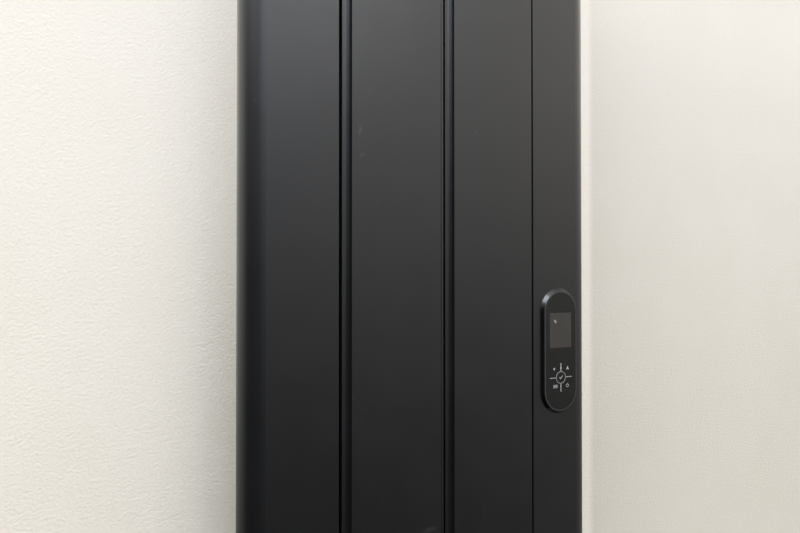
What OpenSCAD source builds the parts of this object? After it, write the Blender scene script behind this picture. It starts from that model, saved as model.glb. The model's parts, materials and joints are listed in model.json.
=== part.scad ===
// Vertical electric radiator. Three flat extruded panels hang side by side on two rear rails,
// with a side housing for the electronics, a control pod with a screen and keys on its front,
// and two wall brackets. X runs to the right, the front faces -Y and Z is up.
// The wall is the plane y = 0, and the origin is the centre of the four wall screws.

/* [Overall] */
// Height over the end caps
body_h = 1500; // [1300:10:1800]
// Free depth between the wall and the back of the radiator
wall_gap = 24; // [23:0.5:34]
// Front width of the plain panel at the left, with its rounded edge
end_panel_w = 79; // [72:0.5:100]
// Distance from one groove to the next
panel_pitch = 100; // [92:1:125]
// Width of the side housing
housing_w = 73; // [70:0.5:90]
// Seam between the last panel and the side housing
seam_w = 1.5; // [1:0.1:3]
// Distance of each row of wall screws from its end of the radiator
bracket_inset = 250; // [200:10:300]

/* [Panel profile] */
// Depth of the hollow front of a panel, which is also twice the radius of the rounded edges
box_depth = 37.4; // [34:0.2:42]
// Depth of the fins behind the hollow front
fin_depth = 36.6; // [30:0.2:44]
// Wall of the extruded profile
wall_t = 2; // [1.6:0.1:2.6]
// Open slit of a groove
slit_w = 4.2; // [3:0.1:6]
// Recessed lip beside the slit
lip_w = 7.1; // [6:0.1:9]
// Radius of the hollow corner on the lip, which is also how deep the lip lies
cove_r = 4.5; // [3:0.1:5]
// Rounding of the front edge beside a slit
edge_r = 0.8; // [0.3:0.1:1.4]
// Distance of the fine line along the middle panel from its right edge
fine_line = 2.6; // [2:0.1:6]
// Thickness of a fin
fin_t = 1.8; // [1.2:0.1:2.6]
// Distance from one fin to the next
fin_pitch = 13; // [9:0.5:18]
// How far the fins of the plain panel stay behind its rounded edge
nose_inset = 15; // [10:0.5:18]

/* [Heating rods] */
// Radius of a heating rod
rod_r = 8; // [6:0.5:9]
// Clearance between a rod and its channel
rod_clear = 0.1; // [0.05:0.05:0.3]
// Unheated length at each end of a panel
rod_margin = 60; // [45:5:120]
// Radius of a sleeved pair of wires
wire_r = 2.4; // [1.8:0.1:2.5]

/* [Rails and brackets] */
// Sheet of the rails
rail_t = 2; // [1.5:0.1:3]
// Height of a rail
rail_h = 44; // [38:1:60]
// How far a rail hooks towards the wall
rail_reach = 15; // [13:0.5:17]
// Depth of the hook's lip
hook_lip = 12; // [9:0.5:14]
// Sheet of the wall brackets
bracket_t = 2.5; // [2:0.1:3]
// Length of a wall bracket
bracket_w = 240; // [224:2:280]
// Distance between the two wall screws of one bracket
screw_span = 200; // [160:5:206]
// Radius of the wall screw holes
screw_hole_r = 3; // [2.5:0.1:4]
// Distance from the middle of a rail down to the wall screws
screw_drop = 32; // [31:0.5:40]
// Rubber pad between a bracket and its rail
pad_t = 1.5; // [1:0.1:3]
// Radius of the latch pin
latch_r = 2.5; // [2:0.1:2.7]
// Length of the latch arm
latch_l = 14; // [11:0.5:16]

/* [Covers] */
// Thickness of the top cap and of both caps of the side housing
cap_t = 3; // [2:0.1:5]
// Height of the bottom cover, which holds the wires
cover_h = 24; // [23:0.5:36]
// Wall of the bottom cover
cover_wall = 2.2; // [1.6:0.1:3]
// Width of an air slot
slot_w = 3.6; // [2.5:0.1:5]
// Distance from one air slot to the next
slot_pitch = 8; // [7:0.5:12]
// Radius of the cap screws
cap_screw_r = 1.9; // [1.5:0.1:2.2]

/* [Side housing] */
// Sheet of the side cover
sheet_t = 2; // [1.5:0.1:2.5]
// Sheet of the chassis inside it
chassis_t = 2; // [1.5:0.1:2.5]
// Radius of the cable passage in the gland
gland_bore_r = 4.2; // [3:0.1:5]
// Radius of the gland's threaded neck
gland_neck_r = 7.9; // [7:0.1:9]
// How far the gland stands below the housing
gland_drop = 14; // [10:1:24]

/* [Control pod] */
// Height of the pod's centre above the middle of the radiator
pod_z = 199.7; // [60:0.1:380]
// Width of the pod's front
pod_w = 40.5; // [39:0.5:48]
// Height of the pod's front
pod_h = 118.5; // [117:0.5:140]
// How far the pod stands out of the housing
pod_proud = 3.5; // [3:0.1:5]
// How far the pod's sloping side runs out from its front
pod_slope = 2.7; // [1.5:0.1:3]
// Thickness of the glossy face
lens_t = 1.4; // [1:0.1:2]
// Width of the rim round the face
rim_w = 1.2; // [1:0.1:2]
// Width of the screen
screen_w = 28; // [24:0.5:30]
// Height of the screen
screen_h = 34.5; // [30:0.5:36]
// Height of the screen's centre above the pod's centre
screen_up = 20.5; // [19:0.5:26]
// Depth of the key cluster's centre below the pod's centre
keys_down = 26.2; // [25:0.2:32]
// Radius of the round key
ok_r = 5.4; // [5:0.1:7]
// Outer radius of the four keys round it
ring_key_r = 14; // [13:0.1:15]
// Width of the pale lines between the keys
line_w = 0.55; // [0.5:0.05:1]
// Clearance between a key and what it slides in
key_clear = 0.15; // [0.1:0.01:0.25]
// Travel of a key
key_travel = 0.4; // [0.2:0.05:0.5]

/* [Rocker switch] */
// Length of the rocker switch's flange
switch_l = 21; // [19:0.5:24]
// Width of the rocker switch's flange
switch_w = 15; // [14:0.5:18]
// Radius of the rocker about its pin
rocker_r = 8.6; // [7:0.1:9]
// Tilt of the rocker from its middle, each way
rocker_tilt = 10; // [6:1:12]

/* [Hidden] */
$fn = 96;

finish = "#2b2b2c";
gloss = "#161618";
bare_metal = "#b9bcbf";
zinc = "#9ea3a6";
rubber = "#1d1d1d";
board_green = "#2f5d3a";
mica = "#d9d2c4";

nose_r = box_depth / 2;
panel_w = panel_pitch - slit_w;
lip_flat = lip_w - cove_r;
tongue_gap = 0.4;
fine_line_w = 0.6;
fine_line_d = 0.6;
total_w = end_panel_w + 2 * panel_pitch + seam_w + housing_w;
x_left = -total_w / 2;
x_groove = [for (i = [0:2]) x_left + end_panel_w + i * panel_pitch];
x_house = x_groove[2] + seam_w;
x_right = total_w / 2;
y_back = -wall_gap;
y_fin = y_back - rail_t;
y_box = y_fin - fin_depth;
y_front = y_box - box_depth;
y_rod = y_front + nose_r;
z_top = body_h / 2;
z_bottom = -body_h / 2;
z_panel = z_bottom + cover_h;
panel_l = body_h - cover_h - cap_t;
house_d = y_back - y_front;

rod_bore_r = rod_r + rod_clear;
collar_l = 10;
pin_l = 12;
tube_wall = 2.4;
rib_t = 2.4;
port_r = cap_screw_r + 0.05;
port_wall = 1.6;
port_step = 28;
port_v = box_depth - wall_t - port_r;
end_mid = (nose_inset + end_panel_w) / 2;
grooved_mid = panel_w / 2;
rod_x = [x_left + end_mid, x_groove[0] + slit_w + grooved_mid, x_groove[1] + slit_w + grooved_mid];

nut_w = 10;
nut_t = 4;
nut_clear = 0.2;
rail_screw_r = 2.4;
slot_lip = 2.2;
slot_half = nut_w / 2 + nut_clear + wall_t;

z_rail = [z_top - bracket_inset + screw_drop, z_bottom + bracket_inset + screw_drop];
hook_y = y_back + rail_reach;
lip_y = hook_y - rail_t - 5;
latch_gap = 0.3;
arm_t = 2;
latch_y = -bracket_t - 0.6 - latch_r - 0.3;
shelf_up = rail_h / 2 + 2 * latch_gap + arm_t;
latch_head_r = 4.6;

chassis_x = x_house + sheet_t + 0.3;
bolt_x = x_house + 0.5 * housing_w;
cover_return = 26;
front_return = 14;
chassis_edge = 5;
cover_screw_x = x_right - 13;
rail_end = x_right - cover_return - 2;

pod_side = 2.45;
pod_x = x_right - nose_r - pod_side - pod_w / 2;
pod_base_w = pod_w + 2 * pod_slope;
pod_base_h = pod_h + 2 * pod_slope;
pod_edge = 0.5;
neck_w = pod_w - 6;
neck_h = pod_h - 11;
neck_wall = 1.5;
neck_clear = 0.2;
retainer_t = 1.2;
pod_screw_r = 1;
pod_bite = 1.7;
pod_front = y_front - pod_proud;
y_lens = pod_front + lens_t;
pod_floor = pod_front + 13;
y_board = pod_front + 8;
pcb_t = 1.6;
keys_z = pod_z - keys_down;
guide_r = ok_r + key_clear;
ring_in = guide_r + line_w;
sector_in = ring_in + key_clear;
flange_r = ring_key_r + 1.2;
key_back = pod_front + 2.6;
plate_front = key_back + 0.9;
plate_t = 1;
mat_t = 0.6;
mat_back = plate_front + plate_t + mat_t;
guide_out = flange_r + key_clear + 0.9;

board_x = chassis_x + chassis_t + 6;
board_z = z_bottom + 190;
board_l = 180;
board_w = 55;
board_y = y_front + 7;
part_x = board_x + pcb_t;
bend_r = 8;
wire_step = 2 * wire_r + 0.6;
wire_x = [for (i = [0:2]) part_x + 3 + wire_r + (2 - i) * wire_step];
wire_z = [for (i = [0:2]) z_bottom + max(cover_wall, cap_t) + 0.3 + wire_r + i * wire_step];
ribbon_x = part_x + 10;
ribbon_w = 12;
socket_down = 40;
socket_y = pod_floor - neck_wall - 0.4;

gland_x = x_house + 0.5 * housing_w;
gland_y = y_front + 38;
switch_x = x_house + 0.5 * housing_w;
switch_y = y_back - 12;
pivot_z = z_bottom + 3;
probe_x = x_right - 14;
probe_y = y_front + 60;

// Plane shapes

// Corner piece that a rounding of radius r takes off, for the corner at the origin
module corner_waste(r) {
    difference() {
        translate([-1, -1]) square(r + 1);
        translate([r, r]) circle(r = r);
    }
}

module stadium(w, h) {
    square([w, h - w], center = true);
    for (s = [-1, 1])
        translate([0, s * (h - w) / 2]) circle(r = w / 2);
}

// Places a plane shape drawn in x and z, so that its extrusion grows from y towards the front
module facing_front(y) {
    translate([0, y, 0]) rotate([90, 0, 0]) children();
}

module extrude_along_x(x0, length) {
    translate([x0, 0, 0]) rotate([90, 0, 90]) linear_extrude(length) children();
}

// Extruded panels

// Tube for the heating rod with the rib that carries it, between the front and the back wall
module rod_tube(mid) {
    translate([mid, nose_r]) circle(r = rod_bore_r + tube_wall);
    translate([mid - rib_t / 2, 0]) square([rib_t, box_depth]);
}

module port_places(mid) {
    for (s = [-1, 1])
        translate([mid + s * port_step, port_v]) children();
}

// Rib with an undercut slot, which holds the square nuts of the rail screws
module nut_slot() {
    floor_v = fin_depth - slot_lip - nut_t - 2 * nut_clear;
    difference() {
        translate([-slot_half, -wall_t]) square([2 * slot_half, fin_depth + wall_t]);
        translate([-slot_half + wall_t, 0]) square([2 * (slot_half - wall_t), floor_v - wall_t]);
        translate([-slot_half + wall_t, floor_v]) square([2 * (slot_half - wall_t), fin_depth - slot_lip - floor_v]);
        translate([-rail_screw_r - 0.6, floor_v]) square([2 * rail_screw_r + 1.2, fin_depth]);
    }
}

// Fins on both sides of the nut slot, as many as the half width leaves room for
module fins(mid, half) {
    count = floor((half - slot_half - fin_t / 2) / fin_pitch);
    for (s = [-1, 1], j = [1:1:count])
        translate([mid + s * (slot_half + j * fin_pitch) - fin_t / 2, box_depth - wall_t])
            square([fin_t, fin_depth + wall_t]);
    translate([mid, box_depth]) nut_slot();
}

module grooved_outline() {
    translate([-slit_w + tongue_gap, box_depth - wall_t]) square([slit_w, wall_t]);
    difference() {
        union() {
            translate([0, cove_r]) square([panel_w, box_depth - cove_r]);
            translate([lip_flat, 0]) square([panel_w - lip_flat, box_depth]);
        }
        translate([lip_flat, 0]) circle(r = cove_r);
        translate([panel_w, 0]) mirror([1, 0]) corner_waste(edge_r);
    }
}

module grooved_hollow() {
    inner_v = cove_r + wall_t;
    translate([wall_t, inner_v]) square([panel_w - 2 * wall_t, box_depth - wall_t - inner_v]);
    translate([lip_w + wall_t, wall_t]) square([panel_w - lip_w - 2 * wall_t, box_depth - 2 * wall_t]);
}

module end_outline(inset) {
    translate([nose_r, inset]) square([end_panel_w - nose_r - inset, box_depth - 2 * inset]);
    translate([nose_r, nose_r]) circle(r = nose_r - inset);
}

module end_corner() {
    translate([end_panel_w, 0]) mirror([1, 0]) corner_waste(edge_r);
}

module panel(x0, mid, half) {
    translate([x0, y_front, z_panel]) linear_extrude(panel_l) {
        difference() {
            children(0);
            difference() {
                children(1);
                rod_tube(mid);
                port_places(mid) circle(r = port_r + port_wall);
            }
            translate([mid, nose_r]) circle(r = rod_bore_r);
            port_places(mid) circle(r = port_r);
        }
        fins(mid, half);
    }
}

module grooved_panel(i) {
    color(finish) panel(x_groove[i] + slit_w, grooved_mid, panel_w / 2) {
        difference() {
            grooved_outline();
            children();
        }
        grooved_hollow();
    }
}

module left_panel() {
    color(finish) panel(x_left, end_mid, end_panel_w - end_mid) {
        difference() {
            end_outline(0);
            end_corner();
        }
        end_outline(wall_t);
    }
}

module middle_panel() {
    grooved_panel(0)
        translate([panel_w - fine_line - fine_line_w / 2, -fine_line_d]) square([fine_line_w, 2 * fine_line_d]);
}

module right_panel() {
    grooved_panel(1);
}

// Heating rods and their wires

module heating_rod(i) {
    rod_l = panel_l - 2 * rod_margin;
    translate([rod_x[i], y_rod, z_panel + rod_margin]) {
        color(bare_metal) cylinder(r = rod_r, h = rod_l);
        color(mica) translate([0, 0, -collar_l]) cylinder(r = rod_r - 2, h = collar_l);
        color(bare_metal) translate([0, 0, -collar_l - pin_l]) cylinder(r = 1.5, h = pin_l);
    }
}

module left_rod() {
    heating_rod(0);
}

module middle_rod() {
    heating_rod(1);
}

module right_rod() {
    heating_rod(2);
}

// Quarter bend in the x and z plane that joins a run at the origin going down to one going right
module wire_bend() {
    translate([bend_r, 0, 0]) rotate([90, 0, 0]) rotate([0, 0, 180])
        rotate_extrude(angle = 90) translate([bend_r, 0]) circle(r = wire_r, $fn = 24);
}

module heater_wires() {
    start_z = z_panel + rod_margin - collar_l - pin_l;
    for (i = [0:2]) color(mica) translate([0, y_rod, 0]) {
        low = wire_z[i];
        translate([rod_x[i], 0, low + bend_r]) cylinder(r = wire_r, h = start_z - low - bend_r, $fn = 24);
        translate([rod_x[i], 0, low + bend_r]) wire_bend();
        translate([rod_x[i] + bend_r, 0, low]) rotate([0, 90, 0])
            cylinder(r = wire_r, h = wire_x[i] - rod_x[i] - 2 * bend_r, $fn = 24);
        translate([wire_x[i], 0, low + bend_r]) mirror([1, 0, 0]) wire_bend();
        translate([wire_x[i], 0, low + bend_r]) cylinder(r = wire_r, h = board_z - low - bend_r, $fn = 24);
    }
}

// Top cap and bottom cover of the panels

module body_outline(inset) {
    w = x_groove[2] - x_left;
    translate([x_left, y_front]) {
        translate([nose_r, inset]) square([w - nose_r - inset, box_depth - 2 * inset]);
        translate([nose_r, nose_r]) circle(r = nose_r - inset);
        translate([nose_inset + inset, nose_r]) square([w - nose_inset - 2 * inset, house_d - nose_r - inset]);
    }
}

module air_slots() {
    slot_l = fin_depth - 10;
    first = x_left + nose_inset + 8;
    count = floor((x_groove[2] - 6 - first) / slot_pitch);
    for (k = [0:count])
        translate([first + k * slot_pitch, y_box + fin_depth / 2]) stadium(slot_w, slot_l);
}

module each_port() {
    for (x = rod_x) translate([x, y_front]) port_places(0) children();
}

module countersunk_screw(length) {
    cylinder(r = cap_screw_r, h = length);
    translate([0, 0, length - cap_screw_r]) cylinder(r1 = cap_screw_r, r2 = 2 * cap_screw_r, h = cap_screw_r);
}

module countersink() {
    translate([0, 0, -cap_screw_r]) cylinder(r1 = cap_screw_r, r2 = 2 * cap_screw_r, h = cap_screw_r);
    cylinder(r = 2 * cap_screw_r, h = 1);
}

module top_cap() {
    color(finish) difference() {
        union() {
            translate([0, 0, z_top - cap_t]) linear_extrude(cap_t) difference() {
                body_outline(0);
                air_slots();
                each_port() circle(r = port_r);
            }
            for (x = rod_x)
                translate([x, y_rod, z_top - cap_t - 8]) cylinder(r = rod_r, h = 9);
        }
        each_port() translate([0, 0, z_top]) countersink();
    }
}

module top_cap_screws() {
    length = 16;
    color(zinc) each_port() translate([0, 0, z_top - length]) countersunk_screw(length);
}

module bottom_cover() {
    gap = 1;
    color(finish) difference() {
        union() {
            translate([0, 0, z_bottom]) linear_extrude(cover_wall) body_outline(0);
            translate([0, 0, z_bottom]) linear_extrude(cover_h) difference() {
                body_outline(0);
                body_outline(cover_wall);
            }
            each_port() translate([0, 0, z_bottom]) cylinder(r = port_r + 2, h = cover_h);
        }
        translate([0, 0, z_bottom - 1]) linear_extrude(cover_wall + 2) air_slots();
        each_port() translate([0, 0, z_bottom - 1]) cylinder(r = port_r, h = cover_h + 2);
        each_port() translate([0, 0, z_bottom]) mirror([0, 0, 1]) countersink();
        translate([x_groove[2] - cover_wall - 1, y_rod - wire_r - gap, wire_z[0] - wire_r])
            cube([cover_wall + 2, 2 * (wire_r + gap), z_panel - wire_z[0] + wire_r + 1]);
    }
}

module bottom_cover_screws() {
    length = cover_h + 12;
    color(zinc) each_port() translate([0, 0, z_bottom + length]) mirror([0, 0, 1]) countersunk_screw(length);
}

// Rear rails with their screws and nuts

module rail(z) {
    color(zinc) difference() {
        extrude_along_x(rod_x[0] - 20, rail_end - rod_x[0] + 20) {
            translate([y_fin, z - rail_h / 2]) square([rail_t, rail_h]);
            translate([y_fin, z + rail_h / 2 - rail_t]) square([hook_y - y_fin, rail_t]);
            translate([hook_y - rail_t, z + rail_h / 2 - hook_lip]) square([rail_t, hook_lip]);
        }
        for (x = concat(rod_x, bolt_x))
            translate([x, y_back + 1, z]) rotate([90, 0, 0]) cylinder(r = rail_screw_r + 0.3, h = rail_t + 2);
    }
}

module upper_rail() {
    rail(z_rail[0]);
}

module lower_rail() {
    rail(z_rail[1]);
}

module rail_screw_places() {
    for (x = rod_x, z = z_rail) translate([x, 0, z]) children();
}

module rail_nuts() {
    color(zinc) rail_screw_places()
        translate([0, y_fin - slot_lip, 0]) rotate([90, 0, 0]) linear_extrude(nut_t) difference() {
            square(nut_w, center = true);
            circle(r = rail_screw_r + 0.05);
        }
}

module round_head(r, h) {
    intersection() {
        cylinder(r = r, h = h);
        translate([0, 0, h - 1.4 * r]) sphere(r = 1.4 * r);
    }
}

module rail_screws() {
    grip = rail_t + slot_lip + nut_t;
    color(zinc) rail_screw_places() {
        translate([0, y_back, 0]) rotate([90, 0, 0]) cylinder(r = rail_screw_r, h = grip);
        difference() {
            translate([0, y_back, 0]) rotate([-90, 0, 0]) round_head(2 * rail_screw_r, 1.2 * rail_screw_r);
            translate([0, y_back + 2, 0]) rotate([-90, 0, 0]) cylinder(r = 1.6, h = 4, $fn = 6);
        }
    }
}

// Wall brackets with their pads and latches

module bracket(z) {
    top = z + rail_h / 2 - rail_t - pad_t;
    base = z + rail_h / 2 - hook_lip - 3 - bracket_t;
    color(finish) difference() {
        union() {
            extrude_along_x(-bracket_w / 2, bracket_w) {
                translate([-bracket_t, z - screw_drop - 11]) square([bracket_t, top - z + screw_drop + 11]);
                translate([lip_y - bracket_t, base]) square([-lip_y + bracket_t, bracket_t]);
                translate([lip_y - bracket_t, base]) square([bracket_t, top - base]);
            }
            extrude_along_x(-15, 30) {
                translate([-bracket_t, z]) square([bracket_t, shelf_up + bracket_t]);
                translate([latch_y - latch_head_r - 2, z + shelf_up]) square([-latch_y + latch_head_r + 2, bracket_t]);
            }
        }
        for (s = [-1, 1])
            translate([s * screw_span / 2, 1, z - screw_drop]) rotate([90, 0, 0])
                cylinder(r = screw_hole_r, h = bracket_t + 2);
        translate([0, latch_y, z + shelf_up - 1]) cylinder(r = latch_r + 0.06, h = bracket_t + 2);
    }
}

module upper_bracket() {
    bracket(z_rail[0]);
}

module lower_bracket() {
    bracket(z_rail[1]);
}

module bracket_pads() {
    pad_l = 30;
    color(rubber) for (z = z_rail, s = [-1, 1])
        translate([s * bracket_w / 3 - pad_l / 2, lip_y - bracket_t, z + rail_h / 2 - rail_t - pad_t])
            cube([pad_l, bracket_t, pad_t]);
}

// Quarter turn latch: its arm lies over the rail when shut and beside it when open
module latch(z) {
    color(zinc) translate([0, latch_y, z]) {
        translate([0, 0, rail_h / 2 + latch_gap]) linear_extrude(arm_t) {
            circle(r = latch_r + 0.3);
            translate([-latch_r - 0.3, -latch_l]) square([2 * latch_r + 0.6, latch_l]);
        }
        translate([0, 0, rail_h / 2 + latch_gap]) cylinder(r = latch_r, h = shelf_up - rail_h / 2 + bracket_t);
        difference() {
            translate([0, 0, shelf_up + bracket_t + latch_gap]) round_head(latch_head_r, 4);
            translate([-latch_head_r, -0.6, shelf_up + bracket_t + 2.5]) cube([2 * latch_head_r, 1.2, 4]);
        }
        translate([0, 0, shelf_up + bracket_t - 1]) cylinder(r = latch_r, h = 2);
    }
}

module upper_latch() {
    latch(z_rail[0]);
}

module lower_latch() {
    latch(z_rail[1]);
}

// Side housing: cover, chassis and caps

module house_outline(inset) {
    r = nose_r - inset;
    difference() {
        translate([inset, inset]) square([housing_w - 2 * inset, house_d - 2 * inset]);
        translate([housing_w - inset, inset]) mirror([1, 0]) corner_waste(r);
    }
}

module side_cover() {
    color(finish) difference() {
        translate([x_house, y_front, z_bottom + cap_t]) linear_extrude(body_h - 2 * cap_t) difference() {
            house_outline(0);
            house_outline(sheet_t);
            translate([-1, front_return]) square([sheet_t + 1, house_d]);
            translate([-1, house_d - sheet_t - 1]) square([housing_w - cover_return + 1, sheet_t + 2]);
        }
        translate([pod_x, 0, pod_z]) facing_front(y_front + sheet_t + 1) linear_extrude(sheet_t + 2)
            stadium(neck_w + 2 * neck_clear, neck_h + 2 * neck_clear);
        translate([pod_x, 0, pod_z]) pod_screw_places() facing_front(y_front + sheet_t + 1)
            cylinder(r = pod_screw_r + 0.2, h = sheet_t + 2, $fn = 32);
        cover_screw_places() rotate([90, 0, 0]) cylinder(r = 2.1, h = 3 * sheet_t, center = true, $fn = 32);
    }
}

module cover_screw_places() {
    for (f = [-0.42, -0.15, 0.15, 0.42])
        translate([cover_screw_x, y_back, f * body_h]) children();
}

module side_cover_screws() {
    color(zinc) cover_screw_places() {
        rotate([90, 0, 0]) cylinder(r = 1.9, h = sheet_t + chassis_t + 3, $fn = 32);
        rotate([-90, 0, 0]) round_head(3.6, 2.2);
    }
}

module side_chassis() {
    back_y = y_back - sheet_t;
    depth = back_y - y_front - chassis_edge;
    inner_w = x_right - sheet_t - 0.3 - chassis_x;
    flange = 20;
    color(zinc) difference() {
        translate([chassis_x, 0, z_bottom + cap_t]) linear_extrude(body_h - 2 * cap_t) {
            translate([0, back_y - depth]) square([chassis_t, depth]);
            translate([0, back_y - chassis_t]) square([inner_w, chassis_t]);
            translate([inner_w - chassis_t, back_y - flange]) square([chassis_t, flange]);
        }
        translate([chassis_x - 1, y_rod - wire_r - 1, z_bottom]) cube([chassis_t + 2, 2 * wire_r + 2, cover_h]);
        for (z = z_rail)
            translate([bolt_x, back_y + 1, z]) rotate([90, 0, 0]) cylinder(r = rail_screw_r + 0.3, h = chassis_t + 2);
        cover_screw_places() rotate([90, 0, 0]) cylinder(r = 1.95, h = 4 * sheet_t, center = true, $fn = 32);
    }
}

module chassis_bolts() {
    color(zinc) for (z = z_rail) translate([bolt_x, 0, z]) {
        translate([0, y_back, 0]) rotate([90, 0, 0]) cylinder(r = rail_screw_r, h = rail_t + chassis_t + nut_t);
        translate([0, y_back, 0]) rotate([-90, 0, 0]) round_head(2 * rail_screw_r, 1.2 * rail_screw_r);
        translate([0, y_fin - chassis_t, 0]) rotate([90, 0, 0]) cylinder(r = 4.6, h = nut_t, $fn = 6);
    }
}

module house_skirt() {
    difference() {
        translate([x_house, y_front]) difference() {
            house_outline(sheet_t + 0.2);
            house_outline(sheet_t + 1.8);
        }
        translate([x_house - 1, y_front + chassis_edge - 1]) square([chassis_x + chassis_t + 2 - x_house, house_d]);
        translate([x_house, y_back - sheet_t - chassis_t - 2]) square([housing_w, house_d]);
        translate([x_right - sheet_t - chassis_t - 2, y_back - sheet_t - 24]) square([chassis_t + 4, house_d]);
    }
}

module side_top_cap() {
    color(finish) {
        translate([x_house, y_front, z_top - cap_t]) linear_extrude(cap_t) difference() {
            house_outline(0);
            for (k = [0:4]) translate([housing_w / 2 + (k - 2) * slot_pitch, house_d / 2 + 10]) stadium(slot_w, 24);
        }
        translate([0, 0, z_top - cap_t - 8]) linear_extrude(9) house_skirt();
    }
}

module side_bottom_cap() {
    color(finish) difference() {
        union() {
            translate([x_house, y_front, z_bottom]) linear_extrude(cap_t) house_outline(0);
            translate([0, 0, z_bottom + cap_t - 1]) linear_extrude(9) house_skirt();
        }
        translate([gland_x, gland_y, z_bottom - 1]) cylinder(r = gland_neck_r + 0.1, h = cap_t + 2);
        translate([switch_x - switch_l / 2 + 1.4, switch_y - switch_w / 2 + 1.4, z_bottom - 1])
            cube([switch_l - 2.8, switch_w - 2.8, cap_t + 2]);
        for (k = [0:3])
            translate([x_right - 14, y_front + 24 + k * slot_pitch, z_bottom - 1]) rotate([0, 0, 90])
                linear_extrude(cap_t + 2) stadium(slot_w, 14);
    }
}

// Cable gland and rocker switch under the housing

module cable_gland() {
    hex_h = 5;
    color(rubber) translate([gland_x, gland_y, z_bottom]) difference() {
        union() {
            translate([0, 0, -hex_h]) cylinder(r = gland_neck_r + 3, h = hex_h, $fn = 6);
            translate([0, 0, -gland_drop]) cylinder(r1 = gland_neck_r - 2, r2 = gland_neck_r + 0.6, h = gland_drop - hex_h);
            translate([0, 0, -1]) cylinder(r = gland_neck_r, h = cap_t + 9);
        }
        translate([0, 0, -gland_drop - 1]) cylinder(r = gland_bore_r, h = gland_drop + cap_t + 12);
    }
}

module gland_nut() {
    color(rubber) translate([gland_x, gland_y, z_bottom + cap_t]) difference() {
        cylinder(r = gland_neck_r + 3, h = 5, $fn = 6);
        translate([0, 0, -1]) cylinder(r = gland_neck_r + 0.05, h = 7);
    }
}

module switch_body() {
    cavity_w = switch_w - 4.8;
    cavity_l = 2 * rocker_r + 0.8;
    depth = 16;
    color(gloss) translate([switch_x, switch_y, z_bottom]) difference() {
        union() {
            translate([-switch_l / 2, -switch_w / 2, -2]) cube([switch_l, switch_w, 2]);
            translate([-switch_l / 2 + 1.5, -switch_w / 2 + 1.5, -1]) cube([switch_l - 3, switch_w - 3, cap_t + depth + 1]);
            for (x = [-6, 0, 6]) translate([x - 0.4, -2.4, cap_t + depth - 1]) cube([0.8, 4.8, 9]);
        }
        translate([-cavity_l / 2, -cavity_w / 2, -3]) cube([cavity_l, cavity_w, 3 + cap_t + rocker_r + 1]);
        translate([0, 0, pivot_z - z_bottom]) rotate([90, 0, 0])
            cylinder(r = 1.56, h = cavity_w + 1.6, center = true);
    }
}

module rocker() {
    cap_w = switch_w - 5.2;
    pin_l = cap_w + 1.6;
    rest = -rocker_tilt;
    color(gloss) translate([switch_x, switch_y, pivot_z]) rotate([0, rest, 0]) rotate([90, 0, 0]) {
        linear_extrude(cap_w, center = true) intersection() {
            circle(r = rocker_r);
            polygon([[-rocker_r, 2], [-rocker_r, -6.4], [0, -5], [rocker_r, -6.4], [rocker_r, 2]]);
        }
        cylinder(r = 1.5, h = pin_l, center = true);
    }
}

// Control pod on the front of the housing

module at_pod() {
    translate([pod_x, 0, pod_z]) children();
}

// Half profile of the pod: u runs out from its middle line and v to the front, and a small arc rounds the front edge
module pod_profile() {
    flank = sqrt(pod_proud * pod_proud + pod_slope * pod_slope);
    v = pod_proud - pod_edge;
    u = pod_base_w / 2 - (v * pod_slope + pod_edge * flank) / pod_proud;
    polygon([
        [0, 0], [pod_base_w / 2, 0],
        [u + pod_edge * pod_proud / flank, v + pod_edge * pod_slope / flank],
        [u, v], [u, pod_proud], [0, pod_proud]
    ]);
    translate([u, v]) circle(r = pod_edge);
}

// Runs the pod's profile round a stadium
module pod_shell() {
    straight = pod_base_h - pod_base_w;
    for (s = [-1, 1])
        translate([0, s * straight / 2, 0]) rotate_extrude() pod_profile();
    for (s = [0, 1])
        rotate([90, 0, 0]) rotate([0, s * 180, 0]) linear_extrude(straight, center = true) pod_profile();
}

module pod_screw_places() {
    for (s = [-1, 1]) translate([0, 0, s * (neck_h / 2 + neck_clear + 1.8 * pod_screw_r)]) children();
}

module pod_housing() {
    color(gloss) at_pod() difference() {
        union() {
            facing_front(y_front) pod_shell();
            facing_front(pod_floor) linear_extrude(pod_floor - y_front + 1) stadium(neck_w, neck_h);
        }
        facing_front(y_lens) linear_extrude(lens_t + 1) stadium(pod_w - 2 * rim_w, pod_h - 2 * rim_w);
        facing_front(pod_floor - neck_wall) linear_extrude(pod_floor - neck_wall - y_lens + 0.5)
            stadium(neck_w - 2 * neck_wall, neck_h - 2 * neck_wall);
        translate([0, 0, -keys_down]) facing_front(mat_back + 0.1)
            cylinder(r = guide_out + 0.1, h = mat_back + 0.1 - y_lens + 0.5);
        translate([ribbon_x - pod_x + ribbon_w / 2, 0, -socket_down]) facing_front(pod_floor + 1) linear_extrude(4)
            square([ribbon_w + 3, 8], center = true);
        pod_screw_places() facing_front(y_front + 1)
            cylinder(r = pod_screw_r + 0.05, h = pod_bite + 1.1, $fn = 32);
    }
}

module pod_retainer() {
    color(zinc) at_pod() difference() {
        facing_front(y_front + sheet_t + retainer_t) linear_extrude(retainer_t) difference() {
            stadium(pod_w, pod_h);
            stadium(neck_w + 2 * neck_clear, neck_h + 2 * neck_clear);
        }
        pod_screw_places() facing_front(y_front + sheet_t + 2 * retainer_t)
            cylinder(r = pod_screw_r + 0.2, h = 3 * retainer_t, $fn = 32);
    }
}

module pod_screws() {
    seat = y_front + sheet_t + retainer_t;
    color(zinc) at_pod() pod_screw_places() {
        facing_front(seat) cylinder(r = pod_screw_r, h = sheet_t + retainer_t + pod_bite, $fn = 32);
        translate([0, seat, 0]) rotate([-90, 0, 0]) round_head(1.8 * pod_screw_r, 1.3 * pod_screw_r);
    }
}

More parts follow.
